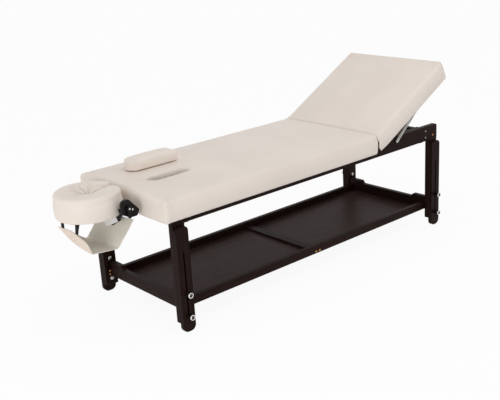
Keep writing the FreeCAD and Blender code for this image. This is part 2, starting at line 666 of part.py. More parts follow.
# Backrest hinges: upright leaves on the board ends, knuckles around a pin
def hinge_leaf(name, way, slots, base_x, base_z):
    """Two hinge leaves on one side of the axis; slots are the knuckles it carries."""
    leaves = []
    plate_x = f"{base_x} + hinge_gap" if way > 0 else f"{base_x} - hinge_gap - leaf_thick"
    web_x = base_x if way > 0 else plate_x
    for side, sign in SIDES:
        tag = f"{name}_{side}"
        start = f"{sign} * hinge_at - 2.5 * knuckle_long"
        bodies = [box(f"{tag}_plate", (plate_x, start, f"{base_z} - leaf_high"),
                      ("leaf_thick", "5 * knuckle_long", "leaf_high"))]
        for k in slots:
            y = f"{start} + {k} * knuckle_long + knuckle_gap"
            clear = "knuckle_long - 2 * knuckle_gap"
            bodies.append(box(f"{tag}_web_{k}", (web_x, y, f"{base_z} - web_high"),
                              ("hinge_gap + leaf_thick", clear, "web_high")))
            bodies.append(rod(f"{tag}_knuckle_{k}", "y", (base_x, y, base_z), "knuckle_r", clear))
        bore = rod(f"{tag}_bore", "y", (base_x, f"{start} - past", base_z),
                   "pin_r + run_free", "5 * knuckle_long + 2 * past")
        leaves.append(cut(f"{tag}_leaf", fused(f"{tag}_solid", bodies), [bore]))
    return gathered(f"{name}_leaves", leaves)


keep(hinge_leaf("deck_hinge", -1, (0, 2, 4), "hinge_x", "deck_top"), "hinge_leaves_deck")
keep(gathered("pin_pair", [
    rod(f"hinge_pin_{side}", "y", ("hinge_x", f"{sign} * hinge_at - 2.5 * knuckle_long", "deck_top"),
        "pin_r", "5 * knuckle_long") for side, sign in SIDES
]), "hinge_pins")

# Backrest, drawn flat about the hinge axis and then raised
back_block = padding(
    "back_pad", s.hinge_gap, s.hinge_gap + s.back_long, s.skirt_bottom - s.deck_top, s.pad_edge - s.deck_top,
    (s.crease_round, s.back_round), (s.crease_roll, s.end_roll),
)
back_pad = cut("back_pad_body", back_block, [
    box("back_cavity", ("-past", "-skirt_in", "skirt_bottom - deck_top - past"),
        ("past + hinge_gap + back_long - skirt_end", "2 * skirt_in", "pad_under - skirt_bottom + past")),
])
keep(reclined(back_pad), "backrest_cushion")
back_panel = box(
    "back_panel", ("hinge_gap + leaf_thick", "-deck_half", "deck_free - deck_thick"),
    ("back_long - skirt_end - leaf_thick - board_short", "2 * deck_half", "deck_thick - deck_free"),
)
keep(reclined(gathered("back_panel_flat", [back_panel])), "backrest_board")
keep(reclined(hinge_leaf("back_hinge", 1, (1, 3), "0", "0")), "hinge_leaves_backrest")
top_plates = []
for side, sign in SIDES:
    plate = box(f"top_plate_{side}", (
        "strut_head - top_plate_long / 2", across(sign, "skirt_in - top_plate_thick", "skirt_in"),
        "-strut_head_drop - top_plate_high / 2",
    ), ("top_plate_long", "top_plate_thick", "top_plate_high"))
    stud = rod(f"top_stud_{side}", "y", (
        "strut_head",
        across(sign, "skirt_in - top_plate_thick - top_stud_out", "skirt_in - top_plate_thick / 2"),
        "-strut_head_drop",
    ), "top_stud_r", "top_stud_out + top_plate_thick / 2")
    top_plates.append(fused(f"top_plate_{side}_solid", [plate, stud]))
keep(reclined(gathered("top_plate_pair", top_plates)), "strut_top_plates")

# Struts: a tube that turns on the rail and a bar that slides in it
lean = math.radians(s.back_angle)
foot = Vector(s.strut_foot, 0, s.strut_foot_z - s.deck_top)
head = Vector(
    s.strut_head * math.cos(lean) + s.strut_head_drop * math.sin(lean), 0,
    s.strut_head * math.sin(lean) - s.strut_head_drop * math.cos(lean),
)
reach = (head - foot).Length
slope = math.degrees(math.atan2(head.z - foot.z, head.x - foot.x))
half = s.tube_wide / 2
thin = s.slide_wide / 2
reach_out = s.tube_free + s.tube_thick + s.stud_free
pivot_half = sharp([
    (0, 0), (s.stud_r, 0), (s.stud_r, reach_out), (s.stud_head_r, reach_out),
    (s.stud_head_r - s.stud_head_high, reach_out + s.stud_head_high), (0, reach_out + s.stud_head_high),
])
pivot_bolts = []
for side, sign in SIDES:
    outer = board(f"tube_{side}_outer", "xz", [
        rounded([
            (-s.tube_back, -half, s.tube_ease), (s.tube_long, -half, 0),
            (s.tube_long, half, 0), (-s.tube_back, half, s.tube_ease),
        ]),
        ring(0, 0, s.stud_r + s.run_free),
    ], f"{sign} * tube_mid - tube_thick / 2", "tube_thick")
    inner = box(f"tube_{side}_inner", (
        "stud_r + tube_core", f"{sign} * tube_mid - slide_flat / 2 - slide_free",
        "-slide_wide / 2 - slide_free",
    ), ("tube_long", "slide_flat + 2 * slide_free", "slide_wide + 2 * slide_free"))
    tube = cut(f"tube_{side}_body", outer, [inner])
    bar = board(f"bar_{side}_body", "xz", [
        rounded([
            (reach - s.slide_long, -thin, 0), (reach + s.slide_end, -thin, s.slide_ease),
            (reach + s.slide_end, thin, s.slide_ease), (reach - s.slide_long, thin, 0),
        ]),
        ring(reach, 0, s.slide_eye),
    ], f"{sign} * tube_mid - slide_flat / 2", "slide_flat")
    for piece, label in ((tube, f"strut_tube_{side}"), (bar, f"strut_bar_{side}")):
        piece.Placement = Placement(Vector(), Rotation(Vector(0, 1, 0), -slope))
        keep(settle(piece, "hinge_x + strut_foot", "0", "strut_foot_z"), label)
    bolt = turned(f"pivot_bolt_{side}", pivot_half, OUTWARD[sign])
    pivot_bolts.append(settle(bolt, "hinge_x + strut_foot", f"{sign} * frame_half", "strut_foot_z"))
keep(gathered("pivot_bolt_pair", pivot_bolts), "strut_bolts")

# Headrest yoke on two rods that slide in sleeves in the head end rail
beam = box("yoke_beam", ("tilt_x + beam_near", "-yoke_half", "tilt_z - beam_low"),
           ("beam_thick", "2 * yoke_half", "beam_high"))
beam_x = s.tilt_x + s.beam_near
low = s.tilt_z - s.beam_low
high = s.tilt_z + s.lug_high
front = s.tilt_x - s.lug_front
lug_loops = [
    rounded([
        (front, s.tilt_z - s.lug_chin, s.lug_turn), (beam_x - s.lug_foot, low, s.lug_ease),
        (beam_x + s.beam_thick + s.lug_foot, low, s.lug_ease),
        (s.tilt_x + s.lug_back, s.tilt_z - s.lug_nose, s.lug_ease),
        (s.tilt_x + s.lug_foot, high, s.lug_turn), (front, high - s.lug_foot, s.lug_turn),
    ]),
    ring(s.tilt_x, s.tilt_z, s.tilt_r + s.run_free),
]
lugs = []
bores = []
rods = []
sleeves = []
pins = []
rod_bore = s.rod_r + s.run_free
lip_r = s.sleeve_r + s.sleeve_lip
sleeve_half = sharp([
    (rod_bore, -s.sleeve_lip_thick), (lip_r, -s.sleeve_lip_thick), (lip_r, 0), (s.sleeve_r, 0),
    (s.sleeve_r, s.end_rail_thick), (rod_bore, s.end_rail_thick),
])
for side, sign in SIDES:
    rod_y = f"{sign} * rod_at"
    lugs.append(board(f"yoke_lug_{side}", "xz", lug_loops,
                      across(sign, "yoke_half - lug_thick", "yoke_half"), "lug_thick"))
    bores.append(rod(f"yoke_bore_{side}", "x", ("tilt_x + beam_near - past", rod_y, "tilt_z - rod_drop"),
                     "rod_r + run_free", "beam_thick + 2 * past"))
    rods.append(rod(f"headrest_rod_{side}", "x", ("tilt_x + beam_near", rod_y, "tilt_z - rod_drop"),
                    "rod_r", "rod_long"))
    sleeve = turned(f"sleeve_{side}", sleeve_half, "x")
    sleeves.append(settle(sleeve, "mid_x - leg_half + end_rail_in", rod_y, "tilt_z - rod_drop"))
    pins.append(rod(f"tilt_pin_{side}", "y", (
        "tilt_x", across(sign, "yoke_half - lug_thick - pin_in", "yoke_half + pin_out"), "tilt_z",
    ), "tilt_r", "pin_in + lug_thick + pin_out"))
    rivet = dome(f"rivet_{side}", sign, s.rivet_r, s.rivet_high)
    pins.append(settle(rivet, "tilt_x + rivet_at", f"{sign} * yoke_half", "tilt_z - rivet_drop"))
keep(cut("yoke_body", fused("yoke_solid", [beam] + lugs), bores), "headrest_yoke")
keep(gathered("rod_pair", rods), "headrest_rods")
keep(gathered("sleeve_pair", sleeves), "rod_sleeves")
keep(gathered("pin_set", pins), "headrest_pins")
tip_turn = s.lever_tip - s.lever_flat / 2
head_turn = s.lever_r - s.lever_flat / 2
keep(board("lever_body", "xz", [
    rounded([
        (s.tilt_x - s.lever_tip, s.tilt_z - s.lever_long, tip_turn),
        (s.tilt_x + s.lever_tip, s.tilt_z - s.lever_long, tip_turn),
        (s.tilt_x + s.lever_r, s.tilt_z + s.lever_r, head_turn),
        (s.tilt_x - s.lever_r, s.tilt_z + s.lever_r, head_turn),
    ]),
    ring(s.tilt_x, s.tilt_z, s.tilt_r + s.run_free),
], "-yoke_half - lever_gap - lever_thick", "lever_thick"), "cam_lever")

# Tilting plate and horseshoe pillow, a drum whose rim hangs round the plate
disc = board("plate_disc", "xy", [ring(s.pillow_x, 0, s.plate_r), ring(s.pillow_x, 0, s.plate_hole)],
             "tilt_z - plate_drop", "plate_thick")
plate_parts = [
    cut("plate_front", disc, [
        box("plate_end", ("tilt_x + strip_half", "-plate_r - past", "tilt_z - plate_drop - past"),
            ("plate_r", "2 * (plate_r + past)", "plate_thick + 2 * past")),
    ]),
    box("plate_strip", ("tilt_x - strip_half", "-(yoke_half - lug_thick - ear_gap)", "tilt_z - plate_drop"),
        ("2 * strip_half", "2 * (yoke_half - lug_thick - ear_gap)", "plate_thick")),
]
ear_loops = [
    rounded([
        (s.tilt_x - s.strip_half, s.tilt_z - s.plate_drop, 0),
        (s.tilt_x + s.strip_half, s.tilt_z - s.plate_drop, 0),
        (s.tilt_x + s.ear_r, s.tilt_z + s.ear_r, s.ear_ease),
        (s.tilt_x - s.ear_r, s.tilt_z + s.ear_r, s.ear_ease),
    ]),
    ring(s.tilt_x, s.tilt_z, s.tilt_r + s.run_free),
]
for side, sign in SIDES:
    plate_parts.append(board(f"plate_ear_{side}", "xz", ear_loops, across(
        sign, "yoke_half - lug_thick - ear_gap - ear_thick", "yoke_half - lug_thick - ear_gap",
    ), "ear_thick"))
keep(fused("plate_body", plate_parts), "headrest_plate")

r0 = s.pillow_hole
r1 = s.pillow_r
h = s.pillow_high
rim = s.plate_r + s.skirt_free
roll = s.pillow_shoulder
drum = turned("pillow_drum", chain([
    (r0 + s.pillow_foot, 0), (rim, 0), (rim, -s.pillow_skirt), (r1 - s.pillow_tuck, -s.pillow_skirt),
    (r1, (h - roll - s.pillow_skirt) / 2, "arc"), (r1 - s.pillow_tuck, h - roll),
    (r1 - 0.42 * roll, h - 0.32 * roll, "arc"), (r1 - 1.2 * roll, h), (r0 + s.pillow_lip, 0.84 * h),
    (r0, 0.4 * h, "arc"),
]), angle=360 - 2 * s.pillow_open)
drum.Placement = Placement(Vector(), Rotation(Vector(0, 0, 1), s.pillow_open))
pillow_base = "tilt_z - plate_drop + plate_thick + deck_free"
settle(drum, "pillow_x", "0", pillow_base)
keep(cut("pillow_body", drum, [
    box("pillow_step", ("tilt_x - skirt_back", "-pillow_r - past", f"{pillow_base} - pillow_skirt - past"),
        ("2 * pillow_r", "2 * (pillow_r + past)", "pillow_skirt + past")),
]), "face_pillow")

# Arm sling: a cloth trough hung under the plate and turned a little, its table-side panel leaning out
deep = s.sling_deep
t = s.cloth
fold = s.sling_round
turn = Rotation(Vector(0, 0, 1), s.sling_turn)
sling = board("sling_body", "xz", [rounded([
    (-s.sling_front, 0, 0), (-s.floor_front, -deep, fold), (s.floor_back, -deep, fold), (s.sling_back, 0, 0),
    (s.sling_back - 1.4 * t, 0, 0), (s.floor_back - 0.4 * t, t - deep, fold - t),
    (t - s.floor_front, t - deep, fold - t), (t - s.sling_front, 0, 0),
])], "-sling_long / 2", "sling_long")
sling.Placement = Placement(Vector(), turn)
keep(settle(sling, "sling_x", "0", "sling_top"), "arm_sling")


def on_sling(u, v, z):
    """A point measured from the middle of the sling's upper edges."""
    return turn.multVec(Vector(u, v, 0)) + Vector(s.sling_x, 0, s.sling_top + z)


def strap(name, foot, head, face):
    """A flat strap between two points that lies against a face looking one way."""
    rise = (head - foot).normalize()
    width = rise.cross(face).normalize()
    flat = width.cross(rise)
    solid = doc.addObject("Part::Box", name)
    bind(solid, "Length", "cloth")
    bind(solid, "Width", "strap_wide")
    solid.Height = (head - foot).Length
    corner = foot - flat * (s.cloth / 2) - width * (s.strap_wide / 2)
    solid.Placement = Placement(corner, Rotation(flat, width, rise, "ZYX"))
    return solid


# Two straps from the head-side edge straight up to the plate, two from the plate down into the trough
under_plate = s.tilt_z - s.plate_drop
hang = under_plate - s.sling_top
out = turn.multVec(Vector(1, 0, 0))
straps = []
for name, sign in (("strap_head_near", -1), ("strap_head_far", 1)):
    u = s.cloth / 2 - s.sling_front
    v = s.strap_far + sign * s.strap_ends
    straps.append(strap(name, on_sling(u, v, 0), on_sling(u, v, hang), out))
lean = turn.multVec(Vector(-deep, 0, s.sling_back - s.floor_back)).normalize()
down = -deep * (s.sling_back - s.strap_foot) / (s.sling_back - s.floor_back)
for name, sign, v in (("strap_table_near", -1, s.strap_near_foot), ("strap_table_far", 1, s.strap_far_foot)):
    foot = on_sling(s.strap_foot, v, down) + lean * s.strap_lift
    head = Vector(s.tilt_x - s.strap_back, sign * s.strap_at, under_plate - s.strap_lift)
    straps.append(strap(name, foot, head, lean))
keep(gathered("strap_set", straps), "sling_straps")

# Plug pillow lying beside the face hole: rounded at one end, straight at the other
x0 = s.plug_x - s.plug_long / 2
x1 = s.plug_x + s.plug_long / 2
wide = s.plug_wide / 2
z0 = s.plug_base
z1 = z0 + s.plug_high
roll = s.plug_roll
end_round = wide - s.plug_flat / 2
plug_side = [
    (s.plug_draw, z0), (0, z0 + 0.42 * s.plug_high, "arc"), (s.plug_draw, z1 - roll),
    (0.5 * roll, z1 - 0.3 * roll, "arc"), (1.4 * roll, z1),
]
keep(shared("plug_body", [
    board("plug_plan", "xy", [rounded([
        (x0, s.plug_side - wide, end_round), (x1, s.plug_side - wide, s.plug_round),
        (x1, s.plug_side + wide, s.plug_round), (x0, s.plug_side + wide, end_round),
    ])], "plug_base", "plug_high + plug_crown + past"),
    board("plug_profile", "xz", [chain([
        (x0, z0), (x1, z0), (x1, z1 - roll), (x1 - 0.3 * roll, z1 - 0.3 * roll, "arc"),
        (x1 - 1.25 * roll, z1 - 0.12 * roll), (s.plug_x, z1 + s.plug_crown, "arc"),
        (x0 + 1.6 * roll, z1 - 0.25 * roll), (x0 + 0.44 * roll, z1 - 0.7 * roll, "arc"),
        (x0, z1 - 1.5 * roll),
    ])], "plug_side - plug_wide / 2 - past", "plug_wide + 2 * past"),
    board("plug_section", "yz", [chain(
        [(s.plug_side - wide + point[0], *point[1:]) for point in plug_side]
        + [(s.plug_side, z1 + s.plug_crown / 2, "arc")]
        + [(s.plug_side + wide - point[0], *point[1:]) for point in reversed(plug_side)]
    )], f"{x0} - past", "plug_long + 2 * past"),
]), "plug_pillow")

doc.recompute()
for obj in doc.Objects:
    if "Invalid" in obj.State or "Error" in obj.State:
        raise SystemExit(f"failed: {obj.Name} {obj.State}")
for obj in nodes:
    if obj.Shape.isNull() or not obj.Shape.isValid() or not obj.Shape.Solids:
        raise SystemExit(f"bad shape: {obj.Label}")

os.makedirs("parts", exist_ok=True)
whole = FreeCAD.BoundBox()
for obj in nodes:
    whole.add(obj.Shape.BoundBox)
    obj.Shape.exportStep(f"parts/{obj.Label}.step")
print(len(nodes), "nodes", whole)
print("hinge", s.hinge_x, s.deck_top, "strut reach", reach, "slope", slope, "mid", s.mid_x, "tilt", s.tilt_x)
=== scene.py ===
# %% [markdown]
# A massage table in cream vinyl on a dark wooden frame, dressed for its portrait.
# The solids of the table come ready-made as a fixed frame, in metres. This lesson leaves the boards,
# struts and fittings where they are and gives them finishes, and makes the soft pieces, knobs, screws
# and stitches anew, because upholstery never looks right as plain solids.

# %% Load the frame
import math

import bmesh
import bpy
import numpy as np
from mathutils import Matrix, Vector
from mathutils.bvhtree import BVHTree


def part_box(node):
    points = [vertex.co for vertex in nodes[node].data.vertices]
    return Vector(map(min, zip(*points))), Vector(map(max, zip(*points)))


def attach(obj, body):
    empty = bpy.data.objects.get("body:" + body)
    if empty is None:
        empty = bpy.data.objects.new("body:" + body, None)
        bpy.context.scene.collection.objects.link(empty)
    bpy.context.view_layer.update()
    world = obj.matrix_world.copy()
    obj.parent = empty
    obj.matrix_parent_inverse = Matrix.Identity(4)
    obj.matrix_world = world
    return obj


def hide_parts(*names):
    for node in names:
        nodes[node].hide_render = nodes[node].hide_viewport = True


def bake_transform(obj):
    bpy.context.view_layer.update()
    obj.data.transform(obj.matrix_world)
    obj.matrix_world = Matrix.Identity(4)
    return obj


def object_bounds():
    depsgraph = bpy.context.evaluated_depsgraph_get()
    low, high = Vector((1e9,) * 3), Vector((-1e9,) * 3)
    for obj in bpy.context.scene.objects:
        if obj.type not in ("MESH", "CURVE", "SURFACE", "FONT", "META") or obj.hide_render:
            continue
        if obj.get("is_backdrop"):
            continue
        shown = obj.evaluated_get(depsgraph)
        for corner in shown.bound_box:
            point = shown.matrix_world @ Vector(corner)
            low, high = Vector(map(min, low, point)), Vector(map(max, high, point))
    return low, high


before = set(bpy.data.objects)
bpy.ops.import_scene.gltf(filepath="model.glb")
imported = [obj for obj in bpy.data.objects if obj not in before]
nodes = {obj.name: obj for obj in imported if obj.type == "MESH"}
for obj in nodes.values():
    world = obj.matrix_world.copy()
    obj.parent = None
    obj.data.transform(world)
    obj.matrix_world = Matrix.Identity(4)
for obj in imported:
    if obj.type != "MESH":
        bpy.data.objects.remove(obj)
scene = bpy.context.scene
scene.view_settings.view_transform = "Standard"
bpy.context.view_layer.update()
rail_low, rail_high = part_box("side_rail_near")
MID = (rail_low[0] + rail_high[0]) / 2

# %% [markdown]
# Places along the table are measured from MID, the middle of the side rails.
# The camera stands left of the head end, a little above the top, and is tipped a few degrees.
# Its place was worked out from straight edges of the real table, so it is written as three angles
# and a point, and the lens as a focal length for a 36 mm wide picture.

# %% Camera
STAND = (MID - 2.9432, -3.2143, 1.791)
heading, pitch, tip = math.radians(40.3467), math.radians(-18.5457), math.radians(-3.4921)
look = Vector((math.sin(heading) * math.cos(pitch), math.cos(heading) * math.cos(pitch), math.sin(pitch)))
level = look.cross(Vector((0, 0, 1))).normalized()
upward = level.cross(look)
camera_right = level * math.cos(tip) + upward * math.sin(tip)
camera_up = upward * math.cos(tip) - level * math.sin(tip)
camera = bpy.data.objects.new("studio_camera", bpy.data.cameras.new("studio_camera"))
camera.data.lens = 60.67
camera.data.sensor_width = 36
turned = Matrix((camera_right, camera_up, -look)).transposed()
camera.matrix_world = Matrix.Translation(STAND) @ turned.to_4x4()
scene.collection.objects.link(camera)
scene.camera = camera
print("camera", [round(v, 3) for v in camera.location])

# %% [markdown]
# Node trees are written as Python expressions. A Tint wraps one socket of a tree, and adding or
# multiplying two of them adds a Math node, so a grain reads like the sum that it is. A Sketch holds a
# tree and the node at its end, and every other kind of node comes from its one method. A Finish is the
# sketch of a material.

# %% A way to write node trees
class Tint:
    """One socket of a node tree that sums can be done on."""

    def __init__(self, sketch, socket):
        self.sketch = sketch
        self.socket = socket

    def sum_of(self, operation, first, second):
        return self.sketch.node("ShaderNodeMath", {"operation": operation}, {0: first, 1: second})

    def __add__(self, other):
        return self.sum_of("ADD", self, other)

    def __sub__(self, other):
        return self.sum_of("SUBTRACT", self, other)

    def __rsub__(self, other):
        return self.sum_of("SUBTRACT", other, self)

    def __mul__(self, other):
        return self.sum_of("MULTIPLY", self, other)

    __radd__ = __add__
    __rmul__ = __mul__


class Sketch:
    """A node tree that is being written, and the node that it ends in."""

    def __init__(self, tree, end):
        self.tree = tree
        self.end = end

    def node(self, kind, settings=(), sockets=(), out=0):
        made = self.tree.nodes.new(kind)
        for key, value in dict(settings).items():
            if key == "stops":
                while len(made.color_ramp.elements) < len(value):
                    made.color_ramp.elements.new(1)
                for element, (place, colour) in zip(made.color_ramp.elements, value):
                    element.position = place
                    element.color = colour
            else:
                setattr(made, key, value)
        for key, value in dict(sockets).items():
            if isinstance(value, Tint):
                self.tree.links.new(value.socket, made.inputs[key])
            else:
                made.inputs[key].default_value = value
        return Tint(self, made.outputs[out])

    def feed(self, socket, tint):
        self.tree.links.new(tint.socket, self.end.inputs[socket])

    def seen(self):
        """1 for rays that look at things, 0 for rays that only light them."""
        first, *others = [self.node("ShaderNodeLightPath", out=f"Is {kind} Ray")
                          for kind in ("Camera", "Glossy", "Transmission")]
        return sum(others, first)


class Finish(Sketch):
    """A material that is being written, with the nodes that most finishes need."""

    def __init__(self, name, **constants):
        self.material = bpy.data.materials.new(name)
        self.material.use_nodes = True
        tree = self.material.node_tree
        super().__init__(tree, tree.nodes["Principled BSDF"])
        for socket, value in constants.items():
            self.end.inputs[socket.replace("_", " ")].default_value = value
        self.where = self.node("ShaderNodeTexCoord", out="Object")

    def mix(self, share, first, second):
        return self.node("ShaderNodeMix", {"data_type": "RGBA"}, {0: share, 6: first, 7: second}, out=2)

    def stretched(self, *scale):
        return self.node("ShaderNodeVectorMath", {"operation": "MULTIPLY"}, {0: self.where, 1: scale})

    def noise(self, size, detail=3.0, rough=0.5, at=None):
        return self.node("ShaderNodeTexNoise", (), {
            "Vector": at or self.where, "Scale": size, "Detail": detail, "Roughness": rough})

    def band(self, tint, low, high):
        """A tint spread over 0 to 1 between two of its values."""
        return self.node("ShaderNodeMapRange", {"interpolation_type": "SMOOTHSTEP"}, {
            "Value": tint, "From Min": low, "From Max": high})

    def bump(self, height, strength, distance, over=None):
        sockets = {"Height": height, "Strength": strength, "Distance": distance}
        if over:
            sockets["Normal"] = over
        return self.node("ShaderNodeBump", (), sockets)


def ink(red, green, blue):
    """A colour written as screen values 0 to 255, made linear."""
    share = np.array([red, green, blue]) / 255
    linear = np.where(share <= 0.04045, share / 12.92, ((share + 0.055) / 1.055) ** 2.4)
    return (*(float(v) for v in linear), 1.0)


# %% [markdown]
# The upholstery is smooth cream vinyl with a fine pebble. Two sizes of noise make the pebble, and a slow
# one drifts the colour by a hair. An attribute painted on the mesh by the steps that shape each cover is
# painted shade: it takes folds, seams, pleats and the feet of the cushions to a warm tan. The sling is a
# single thin cloth, so a share of subsurface scattering lets some light through it.

# %% Cream vinyl
def vinyl(name, plain, shade, **constants):
    cover = Finish(name, IOR=1.45, **constants)
    drift = cover.noise(3.1, 2)
    # Painted shade: the attribute painted on each cover mixes the colour towards the shade tan in folds, seams,
    # pleats and at the feet.
    crease = cover.node("ShaderNodeAttribute", {"attribute_name": "crease"}, (), out="Fac")
    soft = cover.mix(cover.band(drift, 0.35, 0.7), ink(*plain), ink(*(v - 4 for v in plain)))
    depth = cover.node("ShaderNodeClamp", (), {"Value": crease})
    cover.feed("Base Color", cover.mix(depth, soft, ink(*shade)))
    pebble = cover.node("ShaderNodeTexVoronoi", {"feature": "SMOOTH_F1"}, {
        "Vector": cover.where, "Scale": 520.0, "Smoothness": 0.6})
    fine = cover.bump(pebble, 0.10, 0.0006)
    cover.feed("Normal", cover.bump(cover.noise(38, 2), 0.06, 0.004, over=fine))
    cover.feed("Roughness", 0.40 + 0.12 * cover.noise(60, 2) + 0.10 * crease)
    return cover.material


cream_vinyl = vinyl("cream_vinyl", (234, 223, 213), (158, 128, 106))
# The sling's near-white colour is painted light for its shaded inside; its outside is darkened with painted
# shade.
sling_cloth = vinyl("sling_cloth", (253, 242, 229), (176, 150, 130),
                    Subsurface_Weight=0.6, Subsurface_Radius=(1.0, 0.9, 0.8), Subsurface_Scale=0.004)
blank_label = vinyl("blank_label", (250, 249, 248), (220, 216, 212))
print("vinyl", cream_vinyl.name, sling_cloth.name, blank_label.name)

# %% [markdown]
# The frame is stained so dark that its grain shows only as faint lighter streaks and open pores. The
# streaks are noise drawn out along the board, so there is one finish for each way that a board can run.

# %% Dark stained wood
def stained(name, long_way, deep, lit, shine, rough):
    wood = Finish(name, IOR=1.5, Specular_IOR_Level=shine)

    def drawn_out(along, across):
        return wood.stretched(*(along if way == long_way else across for way in "xyz"))

    figure = wood.noise(1.0, 5, 0.62, drawn_out(1.6, 34.0))
    pore = wood.noise(1.0, 2, 0.5, drawn_out(9.0, 260.0))
    stain = wood.mix(wood.band(figure, 0.38, 0.72), ink(*deep), ink(*lit))
    open_pore = wood.band(pore, 0.60, 0.74)
    wood.feed("Base Color", wood.mix(open_pore * 0.55, stain, ink(*(v * 0.55 for v in deep))))
    wood.feed("Roughness", rough + 0.14 * figure + 0.18 * open_pore)
    wood.feed("Normal", wood.bump(figure * 0.4 - open_pore * 0.6, 0.22, 0.0006))
    return wood.material


wood_along = {way: stained(f"dark_wood_{way}", way, (31, 18, 15), (40, 25, 21), 0.05, 0.38) for way in "xyz"}
shelf_laminate = stained("shelf_laminate", "x", (52, 38, 36), (62, 48, 46), 0.04, 0.34)
print("wood", [m.name for m in wood_along.values()], shelf_laminate.name)

# %% [markdown]
# The hidden boards under the cushions are pale birch plywood, with a soft cathedral figure.

# %% Plywood
def plywood_finish():
    ply = Finish("birch_plywood", IOR=1.45)
    wander = ply.noise(2.2, 2, 0.5, ply.stretched(0.5, 1.0, 1.0))
    rings = ply.node("ShaderNodeTexWave", {"wave_type": "BANDS", "bands_direction": "Y"}, {
        "Vector": ply.stretched(0.25, 1.0, 1.0), "Scale": 9.0, "Distortion": 7.0, "Detail": 3.0})
    fibre = ply.noise(1.0, 3, 0.6, ply.stretched(6, 240, 240))
    share = rings * 0.5 + fibre * 0.35 + wander * 0.15
    ply.feed("Base Color", ply.node("ShaderNodeValToRGB", {"stops": [
        (0.25, ink(176, 138, 98)), (0.55, ink(204, 170, 128)), (0.85, ink(216, 186, 146))]}, {"Fac": share}))
    ply.feed("Roughness", 0.52 + 0.15 * fibre)
    ply.feed("Normal", ply.bump(fibre, 0.15, 0.0004))
    return ply.material


birch_plywood = plywood_finish()
print("plywood", birch_plywood.name)

# %% [markdown]
# Moulded plastic has a fine spark-eroded texture. Metals differ in colour, in how blurred their
# reflections are, and in the way that they were worked: plated steel is cloudy, brushed aluminium has
# hair lines along the bar, and chrome is nearly clean.

# %% Plastic and metals
def moulded(name, colour, rough, shine):
    plastic = Finish(name, IOR=1.46, Specular_IOR_Level=shine)
    cloud = plastic.noise(55, 3)
    plastic.feed("Base Color", plastic.mix(cloud, ink(*colour), ink(*(v * 1.35 for v in colour))))
    plastic.feed("Roughness", rough + 0.14 * cloud)
    plastic.feed("Normal", plastic.bump(plastic.noise(900, 2), 0.12, 0.0003))
    return plastic.material


def plated(name, colour, dull, rough, scratches=(900.0, 900.0, 900.0)):
    metal = Finish(name, Metallic=1.0)
    cloud = metal.noise(140, 3)
    hair = metal.noise(1.0, 3, 0.6, metal.stretched(*scratches))
    metal.feed("Base Color", metal.mix(metal.band(cloud, 0.3, 0.75), ink(*colour), ink(*dull)))
    metal.feed("Roughness", rough + 0.16 * cloud + 0.08 * hair)
    metal.feed("Normal", metal.bump(hair, 0.06, 0.0002))
    return metal.material


black_plastic = moulded("black_plastic", (14, 12, 12), 0.34, 0.22)
# Painted shade: a dark colour for the shallow dish in each knob's end, standing for the shade in a deep socket.
socket_shade = moulded("socket_shade", (52, 47, 45), 0.5, 0.3)
zinc_steel = plated("zinc_steel", (188, 186, 182), (150, 148, 146), 0.26)
yellow_zinc = plated("yellow_zinc", (222, 172, 106), (186, 134, 76), 0.28)
bright_chrome = plated("bright_chrome", (222, 221, 220), (196, 195, 195), 0.08)
satin_nickel = plated("satin_nickel", (250, 249, 247), (232, 231, 229), 0.36)
aluminium = plated("brushed_aluminium", (168, 165, 162), (136, 133, 131), 0.30, (60.0, 900.0, 900.0))
print("metals", [m.name for m in (zinc_steel, yellow_zinc, bright_chrome, satin_nickel, aluminium)])

# %% [markdown]
# The tube of a strut is a ratchet: it has a row of teeth across it, drawn here as sunk bands darkened with
# painted shade, along the tube's own slope, with the gaps between the bands left bright.

# %% Ratchet steel
TUBE_WAY, TEETH = (0.752, 0, 0.659), 520.0


def ratchet_finish():
    steel = Finish("ratchet_steel", Metallic=1.0)
    along = steel.node("ShaderNodeVectorMath", {"operation": "DOT_PRODUCT"}, {
        0: steel.where, 1: TUBE_WAY}, "Value")
    notch_and_shade = steel.band(steel.node("ShaderNodeMath", {"operation": "SINE"}, {0: along * TEETH}), 0.1, 0.8)
    cloud = steel.noise(140, 3)
    bare = steel.mix(cloud, ink(196, 193, 190), ink(158, 155, 152))
    # Painted shade: the sunk notches are mixed towards a dark brown.
    steel.feed("Base Color", steel.mix(notch_and_shade * 0.8, bare, ink(58, 52, 50)))
    steel.feed("Roughness", 0.26 + 0.14 * cloud + 0.2 * notch_and_shade)
    steel.feed("Normal", steel.bump(1.0 - notch_and_shade, 0.5, 0.0012))
    return steel.material


ratchet_steel = ratchet_finish()
print("ratchet", ratchet_steel.name)

# %% [markdown]
# Webbing is woven, and its ribs run across the strap, so this finish reads the strap's own UV map, which
# is laid out in metres: u across the strap and v along it.

# %% Webbing and thread
def webbing_finish():
    band = Finish("black_webbing", IOR=1.45, Specular_IOR_Level=0.2)
    flat = band.node("ShaderNodeUVMap", {"uv_map": "flat"})
    ribs = band.node("ShaderNodeTexWave", {"bands_direction": "Y", "wave_profile": "SIN"}, {
        "Vector": flat, "Scale": 210.0, "Distortion": 0.6, "Detail": 1.0})
    cords = band.node("ShaderNodeTexWave", {"bands_direction": "X", "wave_profile": "SIN"}, {
        "Vector": flat, "Scale": 120.0, "Distortion": 0.4})
    weave = ribs * 0.6 + cords * 0.4
    band.feed("Base Color", band.mix(weave, ink(12, 11, 11), ink(32, 30, 30)))
    band.feed("Roughness", 0.62 + 0.2 * weave)
    band.feed("Normal", band.bump(weave, 0.6, 0.0006))
    return band.material


black_webbing = webbing_finish()
thread = moulded("cream_thread", (222, 210, 194), 0.6, 0.3)
print("webbing", black_webbing.name, thread.name)

# %% [markdown]
# The boards and fittings keep their solids. A welded copy of the loose triangles and a narrow bevel,
# both as live modifiers, ease the edges so that they catch the light, and the finish goes in the slot.

